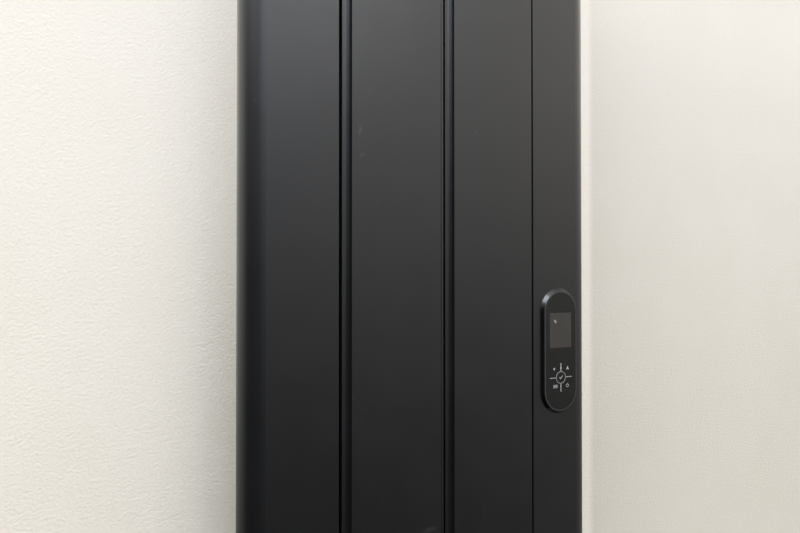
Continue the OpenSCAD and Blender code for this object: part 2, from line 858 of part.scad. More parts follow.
module pod_face() {
    fit = 0.1;
    color(gloss) at_pod() facing_front(y_lens) linear_extrude(lens_t) difference() {
        stadium(pod_w - 2 * rim_w - 2 * fit, pod_h - 2 * rim_w - 2 * fit);
        translate([0, screen_up]) square([screen_w, screen_h], center = true);
        translate([0, -keys_down]) circle(r = ring_key_r + key_clear);
    }
}

module screen() {
    border = 2;
    glass = 0.1;
    color("#48443e") at_pod() translate([0, 0, screen_up]) {
        facing_front(y_lens) linear_extrude(lens_t - 0.15)
            square([screen_w - 2 * glass, screen_h - 2 * glass], center = true);
        facing_front(y_board) linear_extrude(y_board - y_lens)
            square([screen_w + 1, screen_h + 2 * border], center = true);
    }
}

module at_keys() {
    translate([pod_x, 0, keys_z]) children();
}

// Middle of the round key and of each key round it
module key_places() {
    children();
    for (a = [45:90:315]) rotate([0, a, 0]) translate([(sector_in + ring_key_r) / 2, 0, 0]) children();
}

// Pale web between the keys: a ring round the middle key and four spokes on a base plate
module key_guide() {
    height = plate_front + plate_t - pod_front;
    color("#b8b8b4") at_keys() facing_front(plate_front + plate_t) {
        linear_extrude(height) {
            difference() {
                circle(r = ring_in);
                circle(r = guide_r);
            }
            for (a = [0:90:270]) rotate([0, 0, a])
                translate([ring_in - 0.1, -line_w / 2]) square([ring_key_r - ring_in + 0.1, line_w]);
        }
        linear_extrude(height - lens_t) difference() {
            circle(r = guide_out);
            circle(r = flange_r + key_clear);
        }
        linear_extrude(plate_t) difference() {
            circle(r = guide_out);
            circle(r = 2.2);
            for (a = [45:90:315]) rotate([0, 0, a]) translate([(sector_in + ring_key_r) / 2, 0]) circle(r = 2.2);
        }
    }
}

module plunger() {
    facing_front(plate_front - key_travel - 0.1) cylinder(r = 1.6, h = plate_front - key_travel - 0.1 - key_back + 1);
}

module ok_key() {
    color(gloss) at_keys() {
        facing_front(key_back) cylinder(r = ok_r, h = key_back - pod_front);
        plunger();
    }
}

module sector(r_out) {
    cut = line_w / 2 + key_clear;
    intersection() {
        difference() {
            circle(r = r_out);
            circle(r = sector_in);
        }
        translate([cut, cut]) square(2 * r_out);
    }
}

module ring_key(a) {
    flange_front = y_lens + 0.1;
    color(gloss) at_keys() rotate([0, -a, 0]) {
        facing_front(key_back) linear_extrude(key_back - pod_front) sector(ring_key_r);
        facing_front(key_back) linear_extrude(key_back - flange_front) sector(flange_r);
        rotate([0, -45, 0]) translate([(sector_in + ring_key_r) / 2, 0, 0]) plunger();
    }
}

module up_key() {
    ring_key(0);
}

module down_key() {
    ring_key(90);
}

module menu_key() {
    ring_key(180);
}

module power_key() {
    ring_key(270);
}

// Silicone mat whose five tips stand in the holes of the guide, just short of the keys
module key_mat() {
    tip = plate_t + mat_t - 0.15;
    color(mica) at_keys() {
        facing_front(mat_back) linear_extrude(mat_t) circle(r = flange_r);
        key_places() facing_front(mat_back) cylinder(r = 1.9, h = tip);
    }
}

module pod_board() {
    sink = 0.2;
    connector = ribbon_x - pod_x + ribbon_w / 2;
    color(board_green) at_pod() {
        facing_front(y_board + pcb_t) linear_extrude(pcb_t)
            stadium(neck_w - 2 * neck_wall - 1, neck_h - 2 * neck_wall - 1);
        translate([connector, 0, -socket_down]) facing_front(socket_y)
            linear_extrude(socket_y - y_board - pcb_t) square([ribbon_w + 2, 6], center = true);
        for (s = [-1, 1]) translate([0, 0, s * (neck_h / 2 - 8)])
            facing_front(pod_floor - neck_wall) cylinder(r = 2.5, h = pod_floor - neck_wall - y_board - pcb_t);
    }
    color(bare_metal) at_keys() key_places()
        facing_front(y_board + sink) cylinder(r = 2.4, h = y_board + sink - mat_back);
}

// Flat cable from the pod down to the power board
module ribbon_cable() {
    t = 0.8;
    z_start = pod_z - socket_down + t / 2;
    z_end = board_z + board_l;
    y_run = socket_y + 4;
    color("#8c8c88") extrude_along_x(ribbon_x, ribbon_w) {
        translate([socket_y, z_start - t]) square([y_run - socket_y, t]);
        translate([y_run - t, z_end]) square([t, z_start - z_end]);
    }
}

// Electronics on the chassis

module power_board() {
    color(board_green) {
        translate([board_x, board_y, board_z]) cube([pcb_t, board_w, board_l]);
        translate([part_x, socket_y - 1, board_z + board_l - 9]) cube([ribbon_x + ribbon_w + 1 - part_x, 7, 9]);
        for (k = [0:2]) translate([part_x, board_y + 40, board_z + 100 + k * 16]) rotate([0, 90, 0])
            cylinder(r = 5, h = 14);
    }
}

module board_standoffs() {
    color(zinc) for (y = [6, board_w - 6], z = [8, board_l - 14])
        translate([chassis_x + chassis_t, board_y + y, board_z + z]) rotate([0, 90, 0])
            cylinder(r = 3, h = board_x - chassis_x - chassis_t, $fn = 6);
}

module terminal_block() {
    w = wire_x[0] + wire_r + 2 - part_x;
    color(mica) difference() {
        translate([part_x, y_rod - 7, board_z]) cube([w, 14, 14]);
        for (x = wire_x) translate([x, y_rod - 8, board_z + 8]) rotate([-90, 0, 0]) cylinder(r = 1.6, h = 4);
    }
}

module power_relay() {
    color("#23395d") translate([part_x, board_y + 8, board_z + 40]) cube([15, 16, 29]);
}

module transformer() {
    color("#33363a") translate([part_x, board_y + 6, board_z + 84]) {
        cube([3, 24, 34]);
        translate([3, 3, 3]) cube([19, 18, 28]);
        translate([9, 0, 3]) cube([7, 24, 28]);
    }
}

module triac_heatsink() {
    color(bare_metal) translate([part_x, board_y + 34, board_z + 30]) {
        cube([24, 3, 44]);
        for (k = [0:4]) translate([2 + k * 5, 2, 0]) cube([1.6, 16, 44]);
    }
}

module thermal_cutout() {
    color(bare_metal) translate([chassis_x + chassis_t, y_rod + 14, board_z + board_l + 40]) rotate([0, 90, 0]) {
        linear_extrude(1) difference() {
            stadium(17, 34);
            for (s = [-1, 1]) translate([0, s * 12.5]) circle(r = 1.8);
        }
        cylinder(r = 8, h = 7);
        for (s = [-1, 1]) translate([-3, s * 4 - 0.4, 6]) cube([6, 0.8, 9]);
    }
}

module room_probe() {
    color(bare_metal) translate([probe_x, probe_y, z_bottom + cap_t + 3]) {
        cylinder(r = 2.5, h = 26, $fn = 32);
        translate([0, 0, 26]) cylinder(r = 1.2, h = 10, $fn = 32);
    }
}

module probe_clip() {
    base = z_bottom + cap_t;
    color(mica) translate([probe_x, probe_y, base]) {
        translate([-6, -5, 0]) cube([12, 10, 2.9]);
        translate([0, 0, 2]) linear_extrude(16) difference() {
            translate([-6, -5]) square([12, 10]);
            circle(r = 2.6, $fn = 32);
            translate([-1.9, -6]) square([3.8, 6]);
        }
    }
}

module earth_stud() {
    color(bare_metal) translate([chassis_x + chassis_t, y_rod + 30, board_z + board_l + 20]) rotate([0, 90, 0]) {
        cylinder(r = 2, h = 12);
        cylinder(r = 4.4, h = 3.2, $fn = 6);
        translate([0, 0, 3.2]) cylinder(r = 4.6, h = 0.8);
        translate([-2.4, 0, 3.2]) cube([4.8, 12, 0.8]);
    }
}

left_panel();
middle_panel();
right_panel();
left_rod();
middle_rod();
right_rod();
top_cap();
top_cap_screws();
bottom_cover();
bottom_cover_screws();
upper_rail();
lower_rail();
rail_nuts();
rail_screws();
upper_bracket();
lower_bracket();
bracket_pads();
upper_latch();
lower_latch();
side_cover();
side_cover_screws();
side_chassis();
chassis_bolts();
side_top_cap();
side_bottom_cap();
cable_gland();
gland_nut();
switch_body();
rocker();
pod_housing();
pod_retainer();
pod_screws();
pod_face();
screen();
key_guide();
ok_key();
up_key();
power_key();
menu_key();
down_key();
key_mat();
pod_board();
ribbon_cable();
power_board();
board_standoffs();
terminal_block();
power_relay();
transformer();
triac_heatsink();
heater_wires();
thermal_cutout();
room_probe();
probe_clip();
earth_stud();
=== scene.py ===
# %% [markdown]
# # A tall wall radiator in satin black
#
# The radiator hangs flat on a pale wall. Three extruded aluminium panels stand side by side, with dark
# slits between them, and a narrow side housing at the right carries a small glossy control pod with a
# screen and keys. The solids come ready made from the CAD model. This lesson dresses them, prints the
# symbols on the keys, and lights the whole softly from above.

import json
import math

import bmesh
import bpy
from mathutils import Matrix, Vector


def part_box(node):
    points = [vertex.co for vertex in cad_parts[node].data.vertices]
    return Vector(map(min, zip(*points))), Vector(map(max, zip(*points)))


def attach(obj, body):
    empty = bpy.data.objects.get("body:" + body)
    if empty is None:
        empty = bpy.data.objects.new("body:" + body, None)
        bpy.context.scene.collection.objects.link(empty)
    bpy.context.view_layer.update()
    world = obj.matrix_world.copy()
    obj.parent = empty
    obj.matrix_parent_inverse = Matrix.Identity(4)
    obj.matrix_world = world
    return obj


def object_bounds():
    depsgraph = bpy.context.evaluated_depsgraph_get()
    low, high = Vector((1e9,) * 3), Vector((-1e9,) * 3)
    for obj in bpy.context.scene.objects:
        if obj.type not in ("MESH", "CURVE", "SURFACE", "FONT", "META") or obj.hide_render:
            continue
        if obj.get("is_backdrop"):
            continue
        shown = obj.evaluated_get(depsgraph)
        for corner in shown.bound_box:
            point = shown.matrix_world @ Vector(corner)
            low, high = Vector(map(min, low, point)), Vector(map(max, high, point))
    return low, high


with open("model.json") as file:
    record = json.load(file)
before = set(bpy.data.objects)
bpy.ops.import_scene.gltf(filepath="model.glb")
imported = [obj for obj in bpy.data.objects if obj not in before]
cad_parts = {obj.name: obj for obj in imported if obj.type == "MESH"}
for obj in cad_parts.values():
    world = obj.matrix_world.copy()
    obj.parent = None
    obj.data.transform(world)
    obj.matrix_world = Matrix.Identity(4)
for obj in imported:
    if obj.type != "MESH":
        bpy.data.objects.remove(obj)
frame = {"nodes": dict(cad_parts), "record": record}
cad_low, cad_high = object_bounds()
nodes = frame["nodes"]
scene = bpy.context.scene
scene.view_settings.view_transform = "Standard"
print("nodes:", len(nodes), "box:", [round(b - a, 4) for a, b in zip(cad_low, cad_high)])

# %% [markdown]
# ## The camera
#
# The photographer stood close to the wall, a little left of the radiator, and turned right by 27 degrees.
# The lens is a moderate wide angle, so only about half a metre of the height is in view. The camera is made
# first, because everything after it is judged through it.

# %% Camera
LENS_MM, SENSOR_MM = 27.2, 36
CAMERA_PLACE = (-0.2786, -0.565, 0.278)
CAMERA_TILT, CAMERA_TURN = 90.5, -27

camera_data = bpy.data.cameras.new("camera")
camera_data.lens = LENS_MM
camera_data.sensor_width = SENSOR_MM
camera = bpy.data.objects.new("camera", camera_data)
camera.location = CAMERA_PLACE
camera.rotation_euler = (math.radians(CAMERA_TILT), 0, math.radians(CAMERA_TURN))
scene.collection.objects.link(camera)
scene.camera = camera
print("camera at", CAMERA_PLACE)

# %% [markdown]
# ## Helpers for node trees
#
# Every finish is a tree of shader nodes, and each node by hand takes three or four lines. A few small
# functions make a node, set or link its inputs and give back its output, so that a material reads like a
# sum. Each takes its tree, because they serve the world, the materials and the groups alike.

# %% Nodes and sockets


def plug(tree, socket, value):
    """Links an output to the socket, or sets the socket's own value."""
    if isinstance(value, bpy.types.NodeSocket):
        tree.links.new(value, socket)
    else:
        socket.default_value = value


def add(tree, kind, **inputs):
    """A node of that kind. Inputs are named with underscores for spaces, and set or linked."""
    node = tree.nodes.new("ShaderNode" + kind)
    for name, value in inputs.items():
        plug(tree, node.inputs[name.replace("_", " ")], value)
    return node


finishes = {}


def new_material(name):
    """The node tree and surface socket of an empty material, kept in finishes by its name."""
    material = finishes[name] = bpy.data.materials.new(name)
    material.use_nodes = True
    tree = material.node_tree
    tree.nodes.clear()
    return tree, add(tree, "OutputMaterial").inputs[0]


print("node helpers ready")

# %% Sums on numbers, vectors and colours


def calc(tree, operation, *values, clamp=False):
    """The output of a Math node."""
    node = add(tree, "Math")
    node.operation = operation
    node.use_clamp = clamp
    for socket, value in zip(node.inputs, values):
        plug(tree, socket, value)
    return node.outputs[0]


def times(tree, first, second):
    """The product of two numbers."""
    return calc(tree, "MULTIPLY", first, second)


def vector_calc(tree, operation, *values):
    """The output of a Vector Math node: a number for a dot product or a length, otherwise a vector."""
    node = add(tree, "VectorMath")
    node.operation = operation
    for socket, value in zip(node.inputs, values):
        plug(tree, socket, value)
    return node.outputs["Value" if operation in ("DOT_PRODUCT", "LENGTH") else "Vector"]


def axes(tree, vector):
    """The x, y and z of a vector."""
    return add(tree, "SeparateXYZ", Vector=vector).outputs


def blend(tree, share, first, second, mode="MIX"):
    """The output of a colour Mix node."""
    node = add(tree, "Mix")
    node.data_type = "RGBA"
    node.blend_type = mode
    plug(tree, node.inputs[0], share)
    plug(tree, node.inputs[6], first)
    plug(tree, node.inputs[7], second)
    return node.outputs[2]


def lay_over(tree, tone, colour, mask, share):
    """The tone with up to that share of the colour over it where the mask is."""
    return blend(tree, times(tree, mask, share), tone, colour)


def spread(tree, value, low, high, to_low=0.0, to_high=1.0):
    """A smooth step of the value between low and high."""
    node = add(tree, "MapRange")
    node.interpolation_type = "SMOOTHSTEP"
    for socket, item in zip(node.inputs, (value, low, high, to_low, to_high)):
        plug(tree, socket, item)
    return node.outputs[0]


def between(tree, share, first, second):
    """A number that runs smoothly from first to second as the share runs from 0 to 1."""
    return spread(tree, share, 0.0, 1.0, first, second)


print("sums ready")

# %% Places, noise and relief


def place(tree, stretch=None):
    """Object coordinates in metres, stretched along the axes where that is asked for."""
    where = add(tree, "TexCoord").outputs["Object"]
    return vector_calc(tree, "MULTIPLY", where, stretch) if stretch else where


def cloud(tree, where, scale, detail=2.0, roughness=0.5):
    """A noise of that many features per metre."""
    return add(tree, "TexNoise", Vector=where, Scale=scale, Detail=detail, Roughness=roughness).outputs[0]


def add_bump(tree, shader, height, strength, distance):
    """Lets the height bend the shader's normals."""
    node = add(tree, "Bump", Strength=strength, Distance=distance, Height=height)
    plug(tree, shader.inputs["Normal"], node.outputs[0])


print("places and noise ready")

# %% [markdown]
# ## Wall and floor
#
# Behind the radiator there is a painted wall, and below it a pale floor. One flat face each is enough for a
# backdrop. The camera sees them and they catch the radiator's shadow, but they throw no light back onto it,
# so the black coat reflects the lights alone.

# %% Backdrop sheets
# In metres. The wall is a hair behind the brackets
WALL_Y, WALL_TOP = 0.0005, 2.2
FLOOR_Z, REACH = -0.95, 3


def flat_sheet(name, corners):
    """One flat face that is seen and catches shadows, but throws none and shows in no reflection."""
    mesh = bpy.data.meshes.new(name)
    mesh.from_pydata(corners, [], [(0, 1, 2, 3)])
    sheet = bpy.data.objects.new(name, mesh)
    scene.collection.objects.link(sheet)
    for ray in ("diffuse", "glossy", "shadow", "volume_scatter"):
        setattr(sheet, f"visible_{ray}", False)
    sheet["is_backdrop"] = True
    return sheet


def oblong(low, high):
    """The four corners of an oblong in its own plane, in order."""
    return [low, (high[0], low[1]), high, (low[0], high[1])]


wall = flat_sheet("wall", [(x, WALL_Y, z) for x, z in oblong((-REACH, FLOOR_Z), (REACH, WALL_TOP))])
floor = flat_sheet("floor", [(x, y, FLOOR_Z) for x, y in oblong((-REACH, -REACH), (REACH, REACH))])
print("backdrop:", wall.name, floor.name)

# %% [markdown]
# ### Backdrop paint
#
# Matte wall paint has a fine roller grain and drifts in tone. To light a wall just so takes a whole room,
# and painting its light and shade is far simpler. Its tones run, as painted light, from a warm one below to a
# paler one above, dim again towards the ceiling as painted shade, and turn darker past a soft step at the
# right, a painted shade too. A share of the tone glows evenly instead of being lit, more so higher up, in
# place of the light that a room throws back onto its wall. Geometry's Backfacing shows the paint from its
# front only, so that a view from behind or from below still shows the radiator.

# %% Paint
BLACK = (0, 0, 0, 1)

# The painted shade at the right, in metres from the middle: its soft step, and the stretch over which it
# fades
STEP, FADE = (0.2705, 0.2835), (0.27, 0.62)
# The share of the painted shade that is left where it has faded, and in the upper part between these heights
FADED_SHARE = 0.75
UPPER_SHARE, UPPER_PART = 0.5, (0.68, 0.48)

# The painted shade near the ceiling, and the heights between which it comes in and the even glow grows
CEILING_SHADE_TINT, CEILING_PART = (0.78, 0.79, 0.81, 1), (0.6, 1.3)
GLOW_PART = (-0.1, 0.7)
MOTTLE_TINT, MOTTLE_SHARE = (0.95, 0.93, 0.9, 1), 0.25


def with_painted_shade(tree, x, height, tone, right_shade):
    """The tone, with a painted shade of that share past the step at the right, and painted shade near the
    ceiling.
    """
    faded = spread(tree, x, *FADE, right_shade, FADED_SHARE * right_shade)
    beyond = times(tree, spread(tree, x, *STEP), faded)
    shade = times(tree, beyond, spread(tree, height, *UPPER_PART, UPPER_SHARE, 1.0))
    tone = blend(tree, shade, tone, BLACK)
    ceiling_shade = blend(tree, 1.0, tone, CEILING_SHADE_TINT, "MULTIPLY")
    return blend(tree, spread(tree, height, *CEILING_PART), tone, ceiling_shade)


def front_only(tree, shader):
    """The shader on the front of a face, and nothing on its back."""
    mix = add(tree, "MixShader")
    plug(tree, mix.inputs[0], add(tree, "NewGeometry").outputs["Backfacing"])
    plug(tree, mix.inputs[1], shader.outputs[0])
    plug(tree, mix.inputs[2], add(tree, "BsdfTransparent").outputs[0])
    return mix.outputs[0]


def backdrop_material(name, bottom, top, heights, grain, right_shade=0.0, glow=(0.0, 0.0)):
    """Matte paint from one tone to another between two heights as painted light, with the glow's share below
    and above.
    """
    tree, surface = new_material(name)
    where = place(tree)
    x, _, height = axes(tree, where)
    tone = blend(tree, spread(tree, height, *heights), (*bottom, 1), (*top, 1))
    tone = with_painted_shade(tree, x, height, tone, right_shade)
    mottle = spread(tree, cloud(tree, where, 9, 3), 0.35, 0.65)
    tone = blend(tree, times(tree, mottle, MOTTLE_SHARE), tone, MOTTLE_TINT, "MULTIPLY")
    even = spread(tree, height, *GLOW_PART, *glow)
    lit, glowing = blend(tree, even, tone, BLACK), blend(tree, even, BLACK, tone)
    paint = add(
        tree, "BsdfPrincipled", Base_Color=lit, Roughness=0.85, Specular_IOR_Level=0.15,
        Emission_Color=glowing, Emission_Strength=1.0,
    )
    add_bump(tree, paint, cloud(tree, where, grain, 4, 0.65), 1.0, 0.0007)
    plug(tree, surface, front_only(tree, paint))


# The wall's rise from a warmer, darker tone below to a paler one above is painted light
WALL_BELOW, WALL_ABOVE = (0.785, 0.722, 0.617), (0.93, 0.878, 0.800)
FLOOR_TONE = (0.42, 0.405, 0.385)
backdrop_material("wall_paint", WALL_BELOW, WALL_ABOVE, (0.0, 0.65), 420, right_shade=0.20, glow=(0.04, 0.6))
backdrop_material("floor_paint", FLOOR_TONE, FLOOR_TONE, (-1, 0), 60)
wall.data.materials.append(finishes["wall_paint"])
floor.data.materials.append(finishes["floor_paint"])
print("paints:", ", ".join(finishes))

# %% [markdown]
# ## Light
#
# A satin black surface shows little of its own colour, and mostly a blurred picture of the room. In this
# room the ceiling is bright and the floor in front is dark, so the coat runs from grey at the top of the
# picture to near black at the bottom. Lamps alone would leave the rest of the reflections empty, so the
# world paints the room by direction, and it starts with one ramp from straight down to straight up.

# %% The room from below to above
# How far up the direction points, from -1 to 1, and how bright the room is there
ROOM = [
    (-1.0, 0.40), (-0.75, 0.26), (-0.5, 0.05), (-0.37, 0.06), (-0.2, 0.28), (0.0, 0.74),
    (0.17, 1.27), (0.35, 1.38), (0.55, 1.75), (0.8, 1.9), (1.0, 1.7),
]
# The brightness that white on the ramp stands for, because a ramp's colours end at 1
ROOM_SCALE = 4.0

world = bpy.data.worlds.new("room")
scene.world = world
world.use_nodes = True
room = world.node_tree
room.nodes.clear()
direction = add(room, "TexCoord").outputs["Generated"]
x, y, z = axes(room, direction)
ramp = add(room, "ValToRGB")
stops = ramp.color_ramp.elements
while len(stops) < len(ROOM):
    stops.new(0.5)
for stop, (rise, brightness) in zip(stops, ROOM):
    stop.position = (rise + 1) / 2
    stop.color = (brightness / ROOM_SCALE,) * 3 + (1,)
plug(room, ramp.inputs[0], calc(room, "MULTIPLY_ADD", z, 0.5, 0.5))
print("room stops:", len(ROOM))

# %% [markdown]
# ### The room's sides and window
#
# A real room isn't the same all round. Left of straight ahead it is dark low down and bright high up, far
# to the left there is a plain wall, and at the right warmer plaster, dark in its upper part. A cool round
# patch in front stands for the window and makes the highlight in the pod's sloping side. Each is a smooth
# step over the direction, so no reflection has a hard outline.

# %% Sides and window
# Compass turn in radians, 0 straight ahead and less to the left, and how far up the direction points
AHEAD, FAR_LEFT = (-0.18, 0.38), (-1.45, -1.85)
LEFT_RISE, LEFT_LEVEL = (0.22, 0.68), (0.04, 1.45)
FAR_LEFT_RISE, FAR_LEFT_LEVEL = (-0.7, 0.7), (0.14, 2.1)
PLASTER_X, PLASTER_RISE, PLASTER_LEVEL = (0.42, 0.85), (-0.12, 0.62), (0.46, 3.4)
DARK_X, DARK_RISE, DARK_TONE = (0.0, 0.5), (0.50, 0.75), (0.2, 0.19, 0.17, 1)
SIDE_SHARE = 0.8
WINDOW, WINDOW_CORE, WINDOW_EDGE = (-0.02, -0.80, 0.58), 4, 21
WINDOW_COLOUR = (3.0, 3.5, 4.5, 1)


def tinted(value, green=1.0, blue=1.0):
    """A colour as bright as the value, with these shares of green and blue."""
    parts = [value if part == 1.0 else times(room, value, part) for part in (1.0, green, blue)]
    return add(room, "CombineXYZ", X=parts[0], Y=parts[1], Z=parts[2]).outputs[0]


def patch(centre, inner, outer):
    """A soft round patch of the room: 1 within inner degrees of the centre, 0 beyond outer."""
    towards = vector_calc(room, "DOT_PRODUCT", direction, Vector(centre).normalized())
    return spread(room, towards, math.cos(math.radians(outer)), math.cos(math.radians(inner)))


turn = calc(room, "ARCTAN2", x, times(room, y, -1.0))
plain_side = spread(room, turn, *AHEAD)
left_side = spread(room, z, *LEFT_RISE, *LEFT_LEVEL)
share = calc(room, "MULTIPLY_ADD", plain_side, calc(room, "SUBTRACT", 1.0, left_side), left_side)
share = times(room, share, ROOM_SCALE)
light = blend(room, 1.0, ramp.outputs[0], tinted(share), "MULTIPLY")
far_left = tinted(spread(room, z, *FAR_LEFT_RISE, *FAR_LEFT_LEVEL), blue=0.92)
light = blend(room, spread(room, turn, *FAR_LEFT), light, far_left)
window = blend(room, patch(WINDOW, WINDOW_CORE, WINDOW_EDGE), BLACK, WINDOW_COLOUR)
light = blend(room, 1.0, light, window, "ADD")
plaster = tinted(spread(room, z, *PLASTER_RISE, *PLASTER_LEVEL), green=0.93, blue=0.82)
light = lay_over(room, light, plaster, spread(room, x, *PLASTER_X), SIDE_SHARE)
dark = times(room, spread(room, x, *DARK_X), spread(room, z, *DARK_RISE))
light = lay_over(room, light, DARK_TONE, dark, SIDE_SHARE)
print("window patch:", WINDOW_EDGE, "degrees to its edge")

# %% [markdown]
# ### What the camera sees round the backdrop
#
# The painted room is there to be reflected and would look odd as a background. Light Path tells the rays
# apart, so views that look past the wall show a plain pale surround.

# %% Surround
SURROUND = (0.86, 0.84, 0.81, 1)

rays = add(room, "LightPath").outputs
seen = calc(room, "MAXIMUM", rays["Is Camera Ray"], rays["Is Transmission Ray"])
sky = add(room, "Background", Color=blend(room, seen, light, SURROUND), Strength=1.0)
plug(room, add(room, "OutputWorld").inputs[0], sky.outputs[0])
print("world nodes:", len(room.nodes))

# %% [markdown]
# ### Lamps
#
# The room comes from all sides, so it casts hardly a shadow. Two large area lamps add direction: one in
# front and a little to the right gives the plain front light and the soft shadow at the radiator's left,
# and a cool one hangs high at the left. A lamp is given by how bright its face looks, because that is what
# gloss reflects.

# %% Lamps


def soft_lamp(name, where, target, size, brightness, colour):
    """An area lamp whose face has that brightness, where 1 is a white surface in plain light."""
    data = bpy.data.lights.new(name, "AREA")
    data.shape = "RECTANGLE"
    data.size, data.size_y = size
    data.energy = brightness * math.pi * size[0] * size[1]
    data.color = colour
    lamp = bpy.data.objects.new(name, data)
    lamp.location = where
    lamp.rotation_euler = (Vector(target) - Vector(where)).to_track_quat("-Z", "Y").to_euler()
    scene.collection.objects.link(lamp)
    print(name, "energy", round(data.energy, 1))


soft_lamp(
    "window_lamp", where=(0.45, -1.85, 1.6), target=(0.0, 0.0, 0.25),
    size=(0.9, 0.9), brightness=2.8, colour=(1.0, 0.985, 0.96),
)
soft_lamp(
    "ceiling_lamp", where=(-1.40, -1.10, 2.70), target=(0.13, -0.1, 0.20),
    size=(1.0, 1.7), brightness=11.0, colour=(0.80, 0.90, 1.0),
)

# %% [markdown]
# ## Effects that several finishes share
#
# Powder coat, moulded plastic and bare metal all carry dust, fine grain and wear along their edges. Each
# effect is one node group with named inputs and outputs, so that a material can take it with its own
# values. The groups put out heights and masks only, and the shaders stay in the materials.

# %% Group maker


def new_group(name, inputs, outputs):
    """A node group with float or vector inputs, given as name: value, and float outputs."""
    group = bpy.data.node_groups.new(name, "ShaderNodeTree")
    for key, value in inputs.items():
        kind = "NodeSocketVector" if isinstance(value, tuple) else "NodeSocketFloat"
        group.interface.new_socket(key, in_out="INPUT", socket_type=kind).default_value = value
    for key in outputs:
        group.interface.new_socket(key, in_out="OUTPUT", socket_type="NodeSocketFloat")
    return group, group.nodes.new("NodeGroupInput").outputs, group.nodes.new("NodeGroupOutput").inputs


def use_group(tree, group, **inputs):
    """Places the group in a tree with its own values, and returns its outputs."""
    node = add(tree, "Group")
    node.node_tree = group
    for name, value in inputs.items():
        plug(tree, node.inputs[name.replace("_", " ")], value)
    return node.outputs


print("group maker ready")

# %% [markdown]
# ### Coat grain
#
# Powder paint melts into a skin with shallow dimples about a millimetre across, called orange peel, and it
# is speckled with finer pits. Modelled dimples would cost millions of faces, so two noises of very
# different scale give the height, and a third, slow one says where the skin is a shade deeper.

# %% Coat grain


def make_coat_grain():
    """Orange peel and pits as a height, and a slow mottle."""
    tree, gets, gives = new_group("coat_grain", {"Peel": 700.0, "Pits": 3200.0}, ["Height", "Mottle"])
    where = place(tree)
    peel = cloud(tree, where, gets["Peel"], 1.0)
    pits = cloud(tree, where, gets["Pits"], 1.0)
    plug(tree, gives["Height"], calc(tree, "MULTIPLY_ADD", pits, 0.35, peel))
    plug(tree, gives["Mottle"], cloud(tree, where, 38, 4, 0.65))
    return tree


coat_grain = make_coat_grain()
print("group:", coat_grain.name)

# %% [markdown]
# ### Worn edges
#
# Where a sheet is bent or cut, handling polishes the edge and takes a little of the coat. Edges could be
# painted by hand, but a Bevel node finds them: it rounds the normals within a small radius, so wherever it
# disagrees with the true normal there is an edge. Noise breaks the mask up, because wear is never even.

# %% Worn edges


def make_worn_edges():
    """A broken mask along the edges."""
    tree, gets, gives = new_group("worn_edges", {"Radius": 0.0006, "Break up": 260.0}, ["Mask"])
    rounded = add(tree, "Bevel", Radius=gets["Radius"])
    rounded.samples = 6
    true_normal = add(tree, "NewGeometry").outputs["True Normal"]
    agreement = vector_calc(tree, "DOT_PRODUCT", rounded.outputs[0], true_normal)
    edge = spread(tree, agreement, 0.995, 0.93)
    uneven = spread(tree, cloud(tree, place(tree), gets["Break up"], 3), 0.36, 0.62)
    plug(tree, gives["Mask"], times(tree, edge, uneven))
    return tree


worn_edges = make_worn_edges()
print("group:", worn_edges.name)

# %% [markdown]
# ### Dust and touch
#
# Dust is a scatter of specks and a film on faces that look up. A speck is a Voronoi cell whose centre lies
# close by, and a slow noise thins the specks out, because evenly strewn dust looks like a print. Touch is
# where hands left a thin film of grease: broad clouds that make the gloss uneven.

# %% Dust and touch


def pick_cell(tree, cells):
    """A number from 0 to 1 that is the same all over one Voronoi cell."""
    return add(tree, "SeparateColor", Color=cells.outputs["Color"]).outputs[0]


def make_dust_and_touch():
    """Specks and film together as dust, and the clouds of touch."""
    tree, gets, gives = new_group(
        "dust_and_touch", {"Specks": 330.0, "Amount": 0.5, "Touch": 14.0}, ["Dust", "Touch"]
    )
    where = place(tree)
    cells = add(tree, "TexVoronoi", Vector=where, Scale=gets["Specks"])
    speck = spread(tree, cells.outputs["Distance"], 0.17, 0.07)
    chance = calc(tree, "ADD", pick_cell(tree, cells), times(tree, gets["Amount"], 0.12))
    rare = spread(tree, chance, 0.96, 1.0)
    slow = spread(tree, cloud(tree, where, 22, 3), 0.42, 0.66)
    specks = times(tree, times(tree, speck, rare), slow)
    up = spread(tree, axes(tree, add(tree, "NewGeometry").outputs["Normal"])[2], 0.35, 0.95)
    film = times(tree, up, spread(tree, cloud(tree, where, 150, 4, 0.7), 0.2, 0.8, 0.2, 0.7))
    film = times(tree, film, gets["Amount"])
    plug(tree, gives["Dust"], calc(tree, "ADD", specks, film, clamp=True))
    plug(tree, gives["Touch"], spread(tree, cloud(tree, where, gets["Touch"], 5, 0.6), 0.38, 0.68))
    return tree


dust_and_touch = make_dust_and_touch()
print("group:", dust_and_touch.name)

# %% [markdown]
# ### A single mark
#
# The coat has a few marks of its own: a wiped smudge, a scuff, a hairline scratch. Noise alone never puts
# one in a given place, so a mark is an ellipse on the front face, given by its centre and its half size,
# and turned by an angle. Noise eats into it so that no outline stays round.

# %% Mark


def turn_about_y(tree, vector, angle):
    """The vector turned about the Y axis, which runs straight into the wall."""
    node = add(tree, "VectorRotate", Vector=vector, Angle=angle)
    node.rotation_type = "Y_AXIS"
    return node.outputs[0]


